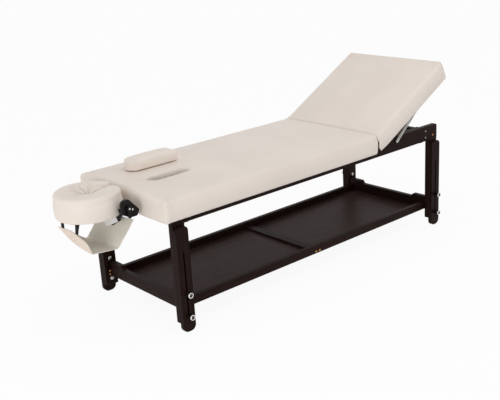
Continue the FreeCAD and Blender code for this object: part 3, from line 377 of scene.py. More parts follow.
# %% Dress the boards and fittings
WELD = 0.00002
FINISHES = {
    birch_plywood: ("deck", "backrest_board"),
    wood_along["x"]: ("side_rail_", "shelf_rail_", "deck_cleat_"),
    wood_along["z"]: ("post_", "leg_head", "leg_foot"),
    wood_along["y"]: ("end_rail_", "shelf_end_", "shelf_crossbar"),
    shelf_laminate: "shelf_panel",
    zinc_steel: ("hinge_", "leg_bolts", "strut_bolts", "strut_top_plates", "grey_screws"),
    yellow_zinc: "yellow_screws",
    ratchet_steel: "strut_tube_",
    aluminium: "strut_bar_",
    black_plastic: ("headrest_yoke", "headrest_plate", "cam_lever", "rod_sleeves", "knob_"),
    bright_chrome: ("headrest_pins", "headrest_rods"),
    cream_vinyl: ("mattress", "backrest_cushion", "face_pillow", "plug_pillow", "arm_sling"),
    black_webbing: "sling_straps",
}
EASED = {
    0.003: ("side_rail_", "leg_head", "leg_foot"),
    0.0025: "post_",
    0.002: ("end_rail_", "shelf_", "headrest_yoke", "deck_cleat_"),
    0.0015: ("headrest_plate", "cam_lever"),
    0.0012: "strut_tube_",
    0.0008: "strut_bar_",
}


def named(starts):
    """Names of the frame's nodes that start in one of the given ways."""
    return [name for name in nodes if name.startswith(starts)]


for finish, starts in FINISHES.items():
    for name in named(starts):
        nodes[name].data.materials.clear()
        nodes[name].data.materials.append(finish)
for width, starts in EASED.items():
    for name in named(starts):
        nodes[name].modifiers.new("weld", "WELD").merge_threshold = WELD
        ease = nodes[name].modifiers.new("eased_edges", "BEVEL")
        ease.width = width
        ease.segments = 2
        ease.limit_method = "ANGLE"
        ease.angle_limit = math.radians(40)
        ease.harden_normals = True
print("dressed", sum(len(o.data.materials) > 0 for o in nodes.values()), "nodes")

# %% [markdown]
# Soft pieces start from the solids too: a merged copy, cut into an even grid of small voxels, is a good
# lump of clay. Its points are then moved as arrays, and the finished mesh replaces the solid.

# %% Helpers for the soft pieces
def vectors_of(items, key):
    flat = np.empty(len(items) * 3)
    items.foreach_get(key, flat)
    return flat.reshape(-1, 3)


def points_of(piece):
    return vectors_of(piece.data.vertices, "co")


def normals_of(piece):
    return vectors_of(piece.data.vertex_normals, "vector")


def move_to(piece, places):
    piece.data.vertices.foreach_set("co", np.ascontiguousarray(places, dtype=np.float32).ravel())
    piece.data.update()


def settle(piece):
    """The piece with its modifiers worked into a plain mesh."""
    bpy.context.view_layer.update()
    shaped = piece.evaluated_get(bpy.context.evaluated_depsgraph_get())
    made = bpy.data.meshes.new_from_object(shaped)
    old = piece.data
    piece.modifiers.clear()
    piece.data = made
    bpy.data.meshes.remove(old)
    return piece


def new_piece(name, mesh):
    piece = bpy.data.objects.new(name, mesh)
    scene.collection.objects.link(piece)
    return piece


def welded(node):
    """A node's loose triangles joined into one mesh for editing."""
    work = bmesh.new()
    work.from_mesh(nodes[node].data)
    bmesh.ops.remove_doubles(work, verts=work.verts, dist=WELD)
    return work


def lump(node, name, voxel, smoothing):
    """An evenly gridded copy of a cushion's solid."""
    mesh = nodes[node].data.copy()
    work = welded(node)
    work.to_mesh(mesh)
    work.free()
    piece = new_piece(name, mesh)
    grid = piece.modifiers.new("even_grid", "REMESH")
    grid.mode = "VOXEL"
    grid.voxel_size = voxel
    soften = piece.modifiers.new("soften", "SMOOTH")
    soften.factor = 0.5
    soften.iterations = smoothing
    return settle(piece)


def paint(piece, crease):
    """Writes painted shade on each point, 0 to 1, for folds, seams and undersides."""
    mark = piece.data.attributes.get("crease") or piece.data.attributes.new("crease", "FLOAT", "POINT")
    mark.data.foreach_set("value", np.ascontiguousarray(np.clip(crease, 0, 1), dtype=np.float32))


def upholster(piece, places, crease):
    """Moves a cushion's points to their last places, paints shade into its folds and puts the vinyl on."""
    move_to(piece, places)
    paint(piece, crease)
    piece.data.materials.clear()
    piece.data.materials.append(cream_vinyl)
    piece.data.polygons.foreach_set("use_smooth", np.ones(len(piece.data.polygons), dtype=bool))
    print(piece.name, len(piece.data.polygons), "faces")


def swell(t):
    """Smooth rise from 0 to 1."""
    t = np.clip(t, 0, 1)
    return t * t * (3 - 2 * t)


# %% [markdown]
# On the real table the two cushions press together at the hinge, and only a thin line shows. The solids
# stand apart there so that they can turn, so the end of each cushion is pushed out to the plane half-way
# between them: every point of the end roll moves along its own ray from the middle of the roll.

# %% Close the crease between the cushions
HINGE, RAISED = Vector((MID + 0.412, 0, 0.6115)), math.radians(28.5)
HALF_TURN, CREASE_GAP, CREASE_SHARP = RAISED / 2, 0.0012, 14.0
ROLL_OUT, ROLL_UP, CROWN_DROP = 0.0388, 0.0385, 1.01
ROLL_X, ROLL_Z = HINGE.x - 0.007 - ROLL_OUT, 0.617
ROLL_ANGLES = np.radians([0, 20, 41.4, 65, 90])
ROLL_REACH = (ROLL_OUT, 0.0392, 0.0391, 0.0395, ROLL_UP)


def press_end(places):
    """Fills the hinge end of a cushion that lies like the mattress."""
    dx, dz = places[:, 0] - ROLL_X, places[:, 2] - ROLL_Z
    upper, lower = (dx > 0) & (dz > 0), (dx > 0) & (dz <= 0)
    to_crease, above = HINGE.x - CREASE_GAP - ROLL_X, ROLL_Z - HINGE.z
    moved = places.copy()
    moved[lower, 0] = ROLL_X + dx[lower] * ((to_crease - above * math.tan(HALF_TURN)) / ROLL_OUT)
    dx, dz = dx[upper], dz[upper]
    angle = np.arctan2(dz, dx)
    crown = 1 - CROWN_DROP * places[upper, 1] ** 2
    reach = np.interp(angle, ROLL_ANGLES, ROLL_REACH) * (1 - (1 - crown) * np.sin(angle) ** 2)
    to_plane = (to_crease * math.cos(HALF_TURN) - above * math.sin(HALF_TURN)) / np.cos(angle - HALF_TURN)
    to_top = ROLL_UP * crown / np.maximum(np.sin(angle), 0.02)
    grow = (to_plane ** -CREASE_SHARP + to_top ** -CREASE_SHARP) ** (-1 / CREASE_SHARP) / reach
    near_skin = swell((np.hypot(dx, dz) / reach - 0.85) / 0.12)
    moved[upper, 0] = ROLL_X + dx * grow
    moved[upper, 2] = ROLL_Z + dz * (1 + (grow - 1) * near_skin)
    return moved


# %% [markdown]
# Both flat cushions have bowed sides, a top that wanders by a fraction of a millimetre, and short folds
# that gather round their free corners like a fan.

# %% Shape of a flat cushion
HALF_WIDE, TOP, SHOULDER, SIDE_FOOT, HEM = 0.355, 0.655, 0.612, 0.541, 0.545
BOW, WANDER, FOLD_REACH, FOLD_DEEP = 0.005, 0.0006, 0.055, 0.0011


def ripple(places, size, seed):
    """A slow smooth wander of about -1 to 1 over a surface."""
    rng = np.random.default_rng(seed)
    total = np.zeros(len(places))
    for step in range(9):
        way = rng.normal(size=3)
        way *= 2 * math.pi / (size * rng.uniform(0.7, 1.6)) / np.linalg.norm(way)
        total += np.sin(places @ way + rng.uniform(0, 2 * math.pi))
    return total / 4


def upper_share(places):
    """0 at the shoulder of a flat cushion and below, 1 at its top."""
    return np.clip((places[:, 2] - SHOULDER) / (TOP - SHOULDER), 0, 1)


def plumped(places):
    """The long sides of a flat cushion bowed out, most at half their height."""
    at_side = swell((np.abs(places[:, 1]) - 0.30) / 0.05)
    bow = BOW * at_side * np.sin(math.pi * np.clip((places[:, 2] - SIDE_FOOT) / (TOP - SIDE_FOOT), 0, 1))
    moved = places.copy()
    moved[:, 1] += bow * np.sign(places[:, 1])
    return moved


def folded(places, corner_x, corner_y, heart_x, deep):
    """The vinyl drawn into folds round one upright corner, and the painted shade in the valleys of the folds.
    """
    dx, dy = places[:, 0] - corner_x, places[:, 1] - corner_y
    near = np.exp(-(np.hypot(dx, dy) / FOLD_REACH) ** 2)
    below = TOP - places[:, 2]
    fan = np.sin(np.arctan2(dy, dx) * 9 + 18 * np.clip(below / 0.09, 0, 1))
    fan = fan * near * swell((0.085 - below) / 0.05)
    outward = places - np.array([heart_x, corner_y * 0.96, 0.60])
    outward /= np.maximum(np.linalg.norm(outward, axis=1), 0.01)[:, None]
    return places + outward * (deep * fan)[:, None], 0.5 * near * swell(0.4 * np.clip(-fan, 0, 1))


# %% [markdown]
# The mattress: a long crowned block whose vinyl skirt hangs over the rails. Its head corners are pushed
# out until they are nearly square, and the rim of the face hole is drawn in and down where the cover
# turns into it.

# %% Mattress
HEAD_END, HEAD_ROUND, HEAD_SHARP = MID - 0.995, 0.034, 6
FACE_X, FACE_HALF, FACE_WIDE = MID - 0.72, 0.130, 0.050
RIM_IN, RIM_DOWN, RIM_WIDE = 0.014, 0.014, 0.020


def squared(places):
    """The head corners of the mattress pushed out from round to nearly square."""
    x, y = HEAD_END + HEAD_ROUND, HALF_WIDE - HEAD_ROUND
    in_x, in_y = x - places[:, 0], np.abs(places[:, 1]) - y
    turn = np.arctan2(np.maximum(in_y, 0), np.maximum(in_x, 1e-6))
    grow = (np.cos(turn) ** HEAD_SHARP + np.sin(turn) ** HEAD_SHARP) ** (-1 / HEAD_SHARP)
    grow = np.where((in_x > 0) & (in_y > 0), grow, 1.0)
    return np.column_stack([x - in_x * grow, np.sign(places[:, 1]) * (y + in_y * grow), places[:, 2]])


mattress = lump("mattress", "mattress_cover", 0.0065, 5)
at = plumped(squared(press_end(points_of(mattress))))
hole_x = at[:, 0] - FACE_X
hole_x = np.sign(hole_x) * np.maximum(np.abs(hole_x) - (FACE_HALF - FACE_WIDE), 0)
from_middle = np.hypot(hole_x, at[:, 1])
past = from_middle - FACE_WIDE
drawn = RIM_IN * (1 - swell(past / 0.05)) / from_middle
at[:, 0] -= hole_x * drawn
at[:, 1] -= at[:, 1] * drawn
height = upper_share(at)
at[:, 2] -= RIM_DOWN * np.exp(-np.clip(past, 0, 1) / RIM_WIDE) * height ** 2
at[:, 2] += WANDER * ripple(at, 0.35, 4) * height
# Painted shade: the bottom edge of the skirt is painted half-way to the tan, and the folds at the head corners
# get their own shade.
crease = 0.5 * (at[:, 2] < HEM)
for corner_y in (-0.33, 0.33):
    at, fold_shade = folded(at, MID - 0.968, corner_y, MID - 0.956, FOLD_DEEP)
    crease += fold_shade
upholster(mattress, at, crease)

# %% [markdown]
# The backrest is made the same way, turned down flat about the hinge while it is shaped and then turned
# back up. Its free corners are rounder and their folds are deeper, and the tip of its skirt at the hinge
# is blunt, because it hangs straight down beside the end of the mattress.

# %% Backrest cushion
FREE_END, CORNER, CORNER_KEEPS = HINGE.x + 0.666, 0.058, 0.45
CORNER_X, CORNER_Y = FREE_END - CORNER, HALF_WIDE - CORNER


def turned_about_hinge(places, angle):
    """Points turned about the hinge axis; a positive angle lays the backrest down."""
    c, s = math.cos(angle), math.sin(angle)
    dx, dz = places[:, 0] - HINGE.x, places[:, 2] - HINGE.z
    return np.column_stack([HINGE.x + dx * c + dz * s, places[:, 1], HINGE.z - dx * s + dz * c])


def mirrored(places):
    """Points mirrored from one side of the hinge to the other."""
    return places * np.array([-1, 1, 1]) + np.array([2 * HINGE.x, 0, 0])


backrest = lump("backrest_cushion", "backrest_cover", 0.0065, 5)
at = mirrored(turned_about_hinge(points_of(backrest), RAISED))
at = plumped(mirrored(press_end(at)))
at[:, 2] += WANDER * ripple(at, 0.3, 7) * upper_share(at)
# Painted shade: the bottom edge of the skirt is painted half-way to the tan, and the folds at the free corners
# get their own shade.
crease = 0.5 * (at[:, 2] < HEM)
for side in (-1, 1):
    in_x, in_y = at[:, 0] - CORNER_X, side * at[:, 1] - CORNER_Y
    reach = np.hypot(in_x, in_y)
    over = (in_x > 0) & (in_y > 0) & (reach > CORNER)
    pull = (CORNER + CORNER_KEEPS * (reach - CORNER)) / np.maximum(reach, 0.001)
    at[:, 0] = CORNER_X + np.where(over, in_x * pull, in_x)
    at[:, 1] = np.where(over, side * (CORNER_Y + in_y * pull), at[:, 1])
    at, fold_shade = folded(at, FREE_END - 0.036, side * 0.318, FREE_END - 0.054, 1.3 * FOLD_DEEP)
    crease += fold_shade
blunt = np.exp(-((at[:, 0] - HINGE.x) / 0.03) ** 2) * swell((HINGE.z - at[:, 2]) / 0.02)
blunt *= 0.9 - 0.6 * swell((0.580 - at[:, 2]) / 0.038)
at = turned_about_hinge(at, -RAISED)
at[:, 0] += blunt * (HINGE.x + 0.004 - at[:, 0])
upholster(backrest, at, crease)

# %% [markdown]
# Two loose cushions are filled by Blender's cloth. The lump is drawn in a little, the cloth is blown up
# from inside with no gravity, and no point may end further from its start than a cap, so the cushion
# keeps its size. One subdivision afterwards leaves enough points for the pleats.

# %% Fill a cushion
SHRUNK, PRESSURE, LAST_FRAME = 0.0025, 4.0, 20


def filled(piece, cap):
    """The lump blown up by cloth pressure and divided once."""
    at_rest = points_of(piece)
    move_to(piece, at_rest - SHRUNK * normals_of(piece))
    cloth = piece.modifiers.new("filling", "CLOTH")
    cloth.settings.quality = 5
    cloth.settings.use_pressure = True
    cloth.settings.uniform_pressure_force = PRESSURE
    cloth.settings.effector_weights.gravity = 0
    cloth.point_cache.frame_start, cloth.point_cache.frame_end = 1, LAST_FRAME
    for step in range(1, LAST_FRAME + 1):
        scene.frame_set(step)
    blown = points_of(piece.evaluated_get(bpy.context.evaluated_depsgraph_get()))
    piece.modifiers.clear()
    scene.frame_set(1)
    drift = blown - at_rest
    length = np.linalg.norm(drift, axis=1)
    move_to(piece, at_rest + drift * np.minimum(1, cap / np.maximum(length, 1e-9))[:, None])
    print(piece.name, "filled, furthest", round(float(length.max()), 4))
    finer = piece.modifiers.new("finer", "SUBSURF")
    finer.levels = finer.render_levels = 1
    return settle(piece)


# %% [markdown]
# The face pillow is a drum with a soft dimple in its top and a slit towards the table. Its solid has a
# wide hole and a wide wedge cut out; on the real pillow the foam bulges until they nearly close. So the
# points inside the crown are drawn towards the middle, the roll round the top is pushed out to a firmer
# shoulder, and the ring is closed up to a slit that opens only at the ends of the two arms. The cover
# sits a little turned, with its near arm lower. All this is done on distance, turn and height, measured
# from the upright line through the middle of the pillow.

# %% Face pillow: close the ring
PILLOW_X, PILLOW_BASE, PILLOW_TOP = MID - 1.166, 0.5885, 0.6795
CROWN, ROLL_WIDE, ROLL_HIGH = 0.118, 0.036, 0.034
WEDGE, SLIT_AT, ARM_SPAN = math.radians(22), math.radians(9), math.radians(30)
CLOSING, DIMPLE, ARM_DROP = 0.667, 0.012, 0.013
pillow = filled(lump("face_pillow", "face_pillow_cover", 0.005, 4), 0.005)
at = points_of(pillow)
away = np.hypot(at[:, 0] - PILLOW_X, at[:, 1])
turn = np.arctan2(at[:, 1], at[:, 0] - PILLOW_X)
high = at[:, 2]
up = np.clip((high - PILLOW_BASE) / (PILLOW_TOP - PILLOW_BASE), 0, 1)
top = swell((up - 0.45) / 0.35)
away = away - CLOSING * top * np.maximum(CROWN - away, 0)
out, rise = np.maximum(away - CROWN, 0), np.maximum(high - PILLOW_TOP + ROLL_HIGH, 0)
lean = np.arctan2(rise / ROLL_HIGH, out / ROLL_WIDE)
grow = np.where((out > 0) & (rise > 0), (np.cos(lean) ** 4 + np.sin(lean) ** 4) ** -0.25 - 1, 0)
away, high = away + out * grow, high + rise * grow
slit = 0.001 + 0.011 * swell((away - 0.10) / 0.05)
slit = np.arcsin(np.minimum(slit / np.maximum(away, 0.004), 0.9))
turn = np.sign(turn) * (math.pi - (math.pi - np.abs(turn)) * (math.pi - slit) / (math.pi - WEDGE))
turn = turn + SLIT_AT * swell(up / 0.15)
high = high - DIMPLE * top * swell((0.07 - away) / 0.06)
high = high - ARM_DROP * top * np.exp(-((turn - SLIT_AT) / ARM_SPAN) ** 2) * (turn < SLIT_AT)
print("pillow ring", len(at), "points")

# %% [markdown]
# Pleats run from the dimple outwards: each is a narrow valley at its own angle, given with its width in
# degrees and its depth as a share of the usual one. Towards the table the arms are flat below, clear of
# the yoke.

# %% Face pillow: pleats
PLEATS = ((27, 4, 1.1), (44, 5, 0.5), (60, 4, 0.9), (76, 5, 0.7), (93, 4, 0.9), (108, 5, 0.8), (121, 4, 0.8),
          (134, 5, 0.6), (147, 4, 0.8), (160, 5, 0.7), (176, 5, 0.8), (194, 6, 0.5), (215, 6, 0.5),
          (245, 7, 0.35), (280, 7, 0.3), (312, 7, 0.35), (338, 6, 0.5))
PLEAT_DEEP, PUFF, ARMS_FROM, ARMS_FLAT = 0.0038, 0.0012, 0.075, 0.5870
valley = np.zeros(len(at))
for angle, width, depth in PLEATS:
    bend = math.radians(angle) + 0.25 * np.sin((away - 0.03) * 40 + angle)
    off = np.angle(np.exp(1j * (turn - bend)))
    valley += depth * np.exp(-(off / math.radians(width)) ** 2)
valley *= swell((0.135 - away) / 0.09) * swell(away / 0.02) * top
at = np.column_stack([PILLOW_X + away * np.cos(turn), away * np.sin(turn), high])
move_to(pillow, at)
at -= normals_of(pillow) * (PLEAT_DEEP * valley - PUFF)[:, None] * swell(up / 0.3)[:, None]
past_rim = at[:, 0] - PILLOW_X - ARMS_FROM
lowest = ARMS_FLAT + 0.0065 * swell(past_rim / 0.02)
at[:, 2] = np.where(past_rim > 0, np.maximum(at[:, 2], lowest), at[:, 2])
# Painted shade in the pleat valleys and along the foot of the pillow.
upholster(pillow, at, 0.20 * valley + 0.35 * swell((0.567 - at[:, 2]) / 0.006))

# %% [markdown]
# The plug pillow fills the face hole when it is not wanted, and here it lies loose beside it.

# %% Plug pillow
PLUG_REST = 0.6556
plug = filled(lump("plug_pillow", "plug_pillow_cover", 0.005, 4), 0.004)
at = points_of(plug)
at[:, 2] = np.maximum(at[:, 2], PLUG_REST)
# A painted contact shadow along the lowest 3 mm of the plug.
upholster(plug, at, 0.5 * swell((0.6590 - at[:, 2]) / 0.003))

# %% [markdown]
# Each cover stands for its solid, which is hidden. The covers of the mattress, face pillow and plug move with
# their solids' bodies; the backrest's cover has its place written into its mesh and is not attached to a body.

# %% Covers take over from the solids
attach(mattress, "frame")
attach(pillow, "headrest_tilt")
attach(plug, "plug")
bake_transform(backrest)
for piece, node, fill in ((mattress, "mattress", 0.8), (backrest, "backrest_cushion", 0.8),
                          (pillow, "face_pillow", 0.7), (plug, "plug_pillow", 0.8)):
    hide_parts(node)
print("covers", mattress.name, backrest.name, pillow.name, plug.name)

# %% [markdown]
# Many small things are skins over a row of rings: a strap is a row of flat rings along a path, a knob a
# row of round ones along its axis. Both ends are closed like a ladder, rung by rung.

# %% A skin over rings
SPOKES = np.arange(72) * 2 * math.pi / 72


def skin(name, rings, finishes, row_finish=None):
    """A closed mesh over rings, an array of (rows, points, 3)."""
    rows, count = rings.shape[:2]
    row_finish = row_finish or [0] * (rows - 1)
    faces, kinds = [], []
    for row in range(rows - 1):
        a, b = row * count, (row + 1) * count
        faces += [(a + i, a + (i + 1) % count, b + (i + 1) % count, b + i) for i in range(count)]
        kinds += [row_finish[row]] * count
    for base, order, kind in ((0, -1, row_finish[0]), ((rows - 1) * count, 1, row_finish[-1])):
        for i in range(count // 2 - 1):
            rung = (base + i, base + i + 1, base + count - 2 - i, base + count - 1 - i)
            faces.append(rung[::order])
            kinds.append(kind)
    mesh = bpy.data.meshes.new(name)
    mesh.from_pydata(rings.reshape(-1, 3).tolist(), [], faces)
    for finish in finishes:
        mesh.materials.append(finish)
    mesh.polygons.foreach_set("material_index", kinds)
    mesh.polygons.foreach_set("use_smooth", np.ones(len(faces), dtype=bool))
    work = bmesh.new()
    work.from_mesh(mesh)
    bmesh.ops.recalc_face_normals(work, faces=work.faces)
    work.to_mesh(mesh)
    work.free()
    mesh.set_sharp_from_angle(angle=math.radians(40))
    return new_piece(name, mesh)


# %% [markdown]
# A clamp knob: a fluted black grip, a nickel ring let into its end and a shallow dished centre, coloured dark
# as painted shade standing for a deep socket. It is drawn as rings along the bolt, from the leg outwards: each
# has a radius, a distance out, whether it is fluted and which finish it has. The flutes are a cosine on the
# radius of the grip. Each of the eight turns on its own bolt, so each is a piece of its own.

# %% Clamp knobs
KNOB_RINGS = (
    (0.0042, 0.0006, 0, 0), (0.0098, 0.0006, 0, 0), (0.0106, 0.0016, 0, 0), (0.0106, 0.0050, 0, 0),
    (0.0108, 0.0062, 1, 0), (0.0110, 0.0080, 1, 0), (0.0110, 0.0215, 1, 0), (0.0107, 0.0236, 1, 0),
    (0.0099, 0.0242, 0, 0), (0.0126, 0.0246, 0, 1), (0.0132, 0.0256, 0, 1), (0.0132, 0.0296, 0, 1),
    (0.0125, 0.0308, 0, 1), (0.0104, 0.0310, 0, 1), (0.0094, 0.0302, 0, 1), (0.0088, 0.0290, 0, 2),
    (0.0062, 0.0286, 0, 2), (0.0030, 0.0290, 0, 2), (0.0008, 0.0291, 0, 2),
)
LEG_FACE, FLUTES, FLUTE_DEEP = 0.350, 18, 0.00045


def knob_piece(node):
    low, high = (np.array(corner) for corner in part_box(node))
    side = math.copysign(1, low[1])
    rings = []
    for radius, out, fluted, finish in KNOB_RINGS:
        wide = radius - fluted * FLUTE_DEEP * (1 - np.cos(FLUTES * SPOKES))
        rings.append(np.column_stack([
            (low[0] + high[0]) / 2 + wide * np.cos(SPOKES),
            np.full(len(SPOKES), side * (LEG_FACE + out)),
            (low[2] + high[2]) / 2 + wide * np.sin(SPOKES),
        ]))
    piece = skin(node + "_grip", np.array(rings), (black_plastic, satin_nickel, socket_shade),
                 [row[3] for row in KNOB_RINGS[1:]])
    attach(piece, node)
    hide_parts(node)


for node in named("knob_"):
    knob_piece(node)
print("knobs", len(named("knob_")))

# %% [markdown]
# Screws, bolts and stitches repeat, so one small Geometry Nodes tree makes them all. It puts a part on
# every point, with the part's Z along the point's facing attribute and a spin that a fixed seed chooses,
# then realizes the copies and gives them one finish.

# %% A tree that repeats a part on points
def repeat_tree():
    tree = bpy.data.node_groups.new("repeat_on_points", "GeometryNodeTree")
    inputs = {}
    for label, kind in (("Geometry", "Geometry"), ("Part", "Object"), ("Finish", "Material"), ("Seed", "Int")):
        made = tree.interface.new_socket(label, in_out="INPUT", socket_type="NodeSocket" + kind)
        inputs[label] = made.identifier
    tree.interface.new_socket("Geometry", in_out="OUTPUT", socket_type="NodeSocketGeometry")
    plan = Sketch(tree, tree.nodes.new("NodeGroupOutput"))
    given = {label: plan.node("NodeGroupInput", out=label) for label in inputs}
    facing = plan.node("GeometryNodeInputNamedAttribute", {"data_type": "FLOAT_VECTOR"}, {"Name": "facing"})
    aim = plan.node("FunctionNodeAlignRotationToVector", {"axis": "Z"}, {"Vector": facing})
    chance = plan.node("FunctionNodeRandomValue", (), {3: 2 * math.pi, "Seed": given["Seed"]}, out=1)
    spin = plan.node("FunctionNodeAxisAngleToRotation", (), {"Angle": chance})
    both = plan.node("FunctionNodeRotateRotation", {"rotation_space": "LOCAL"}, {
        "Rotation": aim, "Rotate By": spin})
    part = plan.node("GeometryNodeObjectInfo", (), {"Object": given["Part"]}, "Geometry")
    copies = plan.node("GeometryNodeInstanceOnPoints", (), {
        "Points": given["Geometry"], "Instance": part, "Rotation": both})
    solid = plan.node("GeometryNodeRealizeInstances", (), {0: copies})
    plan.feed(0, plan.node("GeometryNodeSetMaterial", (), {"Geometry": solid, "Material": given["Finish"]}))
    return tree, inputs


REPEAT, REPEAT_INPUT = repeat_tree()


def repeated(name, places, facings, part, finish, seed):
    """One plain mesh with a copy of a part on every place."""
    mesh = bpy.data.meshes.new(name)
    mesh.from_pydata([tuple(p) for p in places], [], [])
    mesh.attributes.new("facing", "FLOAT_VECTOR", "POINT").data.foreach_set(
        "vector", np.asarray(facings, dtype=np.float32).ravel())
    piece = new_piece(name, mesh)
    copies = piece.modifiers.new("repeat", "NODES")
    for label, value in (("Part", part), ("Finish", finish), ("Seed", seed)):
        copies[REPEAT_INPUT[label]] = value
    copies.node_group = REPEAT
    return settle(piece)


# %% [markdown]
# A screw head is a low dome of rings with a cross sunk into it: the points that lie on the arms of the
# cross go down. A clamp bolt has a plain higher dome and a shank that runs out through post and leg. Their
# places are read from the solids: each loose island of the node is one screw, and its widest part is the
# foot of the head.

# %% Screws and bolts
SHANK_RADIUS = 0.0039


def ring(radius, z):
    return np.column_stack([radius * np.cos(SPOKES), radius * np.sin(SPOKES), np.full(len(SPOKES), z)])


def domed(name, radius, height, shank, cross):
    rings = [ring(SHANK_RADIUS, -shank), ring(SHANK_RADIUS, 0.0)] if shank else []
    rings.append(ring(radius * 0.96, 0.0))
    for step in np.linspace(0.02, 1, 14)[::-1]:
        spots = ring(radius * step, height * math.sqrt(max(0.04, 1 - (0.92 * step) ** 2)))
        short, long = np.sort(np.abs(spots[:, :2]), axis=1).T
        spots[:, 2] -= cross * ((short < 0.13 * radius) & (long < 0.55 * radius))
        rings.append(spots)
    head = skin(name, np.array(rings), (zinc_steel,))
    scene.collection.objects.unlink(head)
    return head


def islands(node):
    """Middle of every loose lump of a node, its foot along Y, and which way along Y its top looks."""
    work = welded(node)
    left, found = set(work.verts), []
    while left:
        edge, lot = [left.pop()], []
        while edge:
            vert = edge.pop()
            lot.append(vert.co[:])
            fresh = {link.other_vert(vert) for link in vert.link_edges} & left
            left -= fresh
            edge += fresh
        spots = np.array(lot)
        middle = (spots.min(axis=0) + spots.max(axis=0)) / 2
        wide = np.hypot(spots[:, 0] - middle[0], spots[:, 2] - middle[2])
        foot = spots[wide > 0.98 * wide.max(), 1].mean()
        found.append((middle, foot, math.copysign(1, middle[1] - foot)))
    work.free()
    return sorted(found, key=lambda item: tuple(np.round(item[0], 4)))


screw_head = domed("screw_head", 0.0052, 0.0024, 0, 0.0012)
clamp_bolt = domed("clamp_bolt", 0.0102, 0.0056, 0.068, 0)
for node, part, finish, slot, sense, seed in (
    ("yellow_screws", screw_head, yellow_zinc, "yellow_zinc", 1, 3),
    ("grey_screws", screw_head, zinc_steel, "steel", 1, 5),
    ("leg_bolts", clamp_bolt, zinc_steel, "steel", -1, 8),
):
    spots = islands(node)
    places = [(middle[0], foot, middle[2]) for middle, foot, way in spots]
    facings = [(0, sense * way, 0) for middle, foot, way in spots]
    piece = repeated(node + "_heads", places, facings, part, finish, seed)
    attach(piece, "frame")
    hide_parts(node)
    print(piece.name, len(places), "copies")

# %% [markdown]
# The arm sling is one cut of cloth hung under the headrest. Across, it goes down a narrow leaf on the head
# side, over a floor and up a panel that leans out to the table. The fold under the leaf climbs from the
# floor at the near end to the leaf's own edge at the far end, so the leaf is pointed at both ends. The
# section is drawn as a chain of straight runs and evened out. LEAF gives, along the sling, where the edge
# of the leaf and the fold lie, each as a place across and a height.

# %% Section of the sling
SLING_X, SLING_TURN, CLOTH = MID - 1.170, math.radians(7), 0.0026
HALF_LONG, HALF_LEAF = 0.115, 0.088
SKEW = HALF_LEAF / HALF_LONG
FLOOR_END, RIM = (0.054, 0.403), (0.1585, 0.5115)
LEAF = np.array([
    (-0.088, -0.0705, 0.4130, -0.0703, 0.4115), (-0.082, -0.0740, 0.4300, -0.0708, 0.4118),
    (-0.075, -0.0780, 0.4520, -0.0718, 0.4122), (-0.060, -0.0810, 0.4710, -0.0736, 0.4135),
    (-0.030, -0.0835, 0.4820, -0.0767, 0.4230), (0.000, -0.0855, 0.4955, -0.0798, 0.4325),
    (0.030, -0.0873, 0.5055, -0.0828, 0.4450), (0.060, -0.0889, 0.5065, -0.0859, 0.4620),
    (0.090, -0.0904, 0.5075, -0.0889, 0.4860), (0.115, -0.0915, 0.5110, -0.0912, 0.5085),
])


def on_sling(u, v, z):
    """Points of the sling, from its own directions to the table's."""
    c, s = math.cos(SLING_TURN), math.sin(SLING_TURN)
    return np.stack([SLING_X + u * c - v * s, u * s + v * c, z], axis=-1)


def evened(line, times):
    """A line whose inner points are averaged with their neighbours."""
    for _ in range(times):
        line[1:-1] = 0.25 * line[:-2] + 0.5 * line[1:-1] + 0.25 * line[2:]
    return line


def sling_section(v):
    """Points across the sling at one place along it."""
    at_leaf = SKEW * v if v < 0 else v
    edge_u, edge_z, fold_u, fold_z = (np.interp(at_leaf, LEAF[:, 0], LEAF[:, k]) for k in (1, 2, 3, 4))
    corners = np.array([(edge_u, edge_z), (fold_u, fold_z), FLOOR_END, RIM])
    runs = [corners[k] + np.linspace(0, 1, count, endpoint=False)[:, None] * (corners[k + 1] - corners[k])
            for k, count in enumerate((26, 30, 36))]
    line = evened(np.concatenate(runs + [corners[3:]]), 5)
    belly = np.sin(np.linspace(0, math.pi, len(line))) * math.cos(v / HALF_LONG * math.pi / 2)
    return line + np.outer(belly, (0.002, -0.0015))


print("sling section", len(sling_section(0.0)), "points")

# %% [markdown]
# The section is slid along the sling, and the cloth wanders by a hair so that it looks hung. Its outside is
# given painted shade in tan, and its inside keeps the cloth's pale colour, painted light, so the inside reads
# lighter.

# %% Arm sling
def unit(vectors):
    return vectors / np.linalg.norm(vectors, axis=-1, keepdims=True)


SLING_V = np.linspace(-HALF_LONG, HALF_LONG, 60)
section = evened(np.array([sling_section(v) for v in SLING_V]), 3)
head_share = np.clip((FLOOR_END[0] - section[..., 0]) / 0.122, 0, 1)
along_v = np.where(SLING_V < 0, SLING_V, 0)[:, None] * (SKEW - 1) * head_share + SLING_V[:, None]
middle = on_sling(section[..., 0], along_v, section[..., 1])
face = np.cross(np.gradient(middle, axis=1), np.gradient(middle, axis=0))
face = unit(face)
middle += face * (0.0009 * ripple(middle.reshape(-1, 3), 0.09, 21)).reshape(face.shape[:2])[..., None]
inside, outside = middle + face * CLOTH / 2, middle - face * CLOTH / 2
sling = skin("arm_sling_cloth", np.concatenate([inside, outside[:, ::-1]], axis=1), (sling_cloth,))
# Painted shade on the outside half of the cloth, none on the inside.
paint(sling, np.tile(np.repeat((0.0, 0.38), middle.shape[1]), len(middle)))
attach(sling, "headrest_tilt")
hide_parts("arm_sling")

# %% [markdown]
# Black webbing holds the sling. A strap is a flat ring of ten points carried along a smooth path, and its
# UV map is in metres.

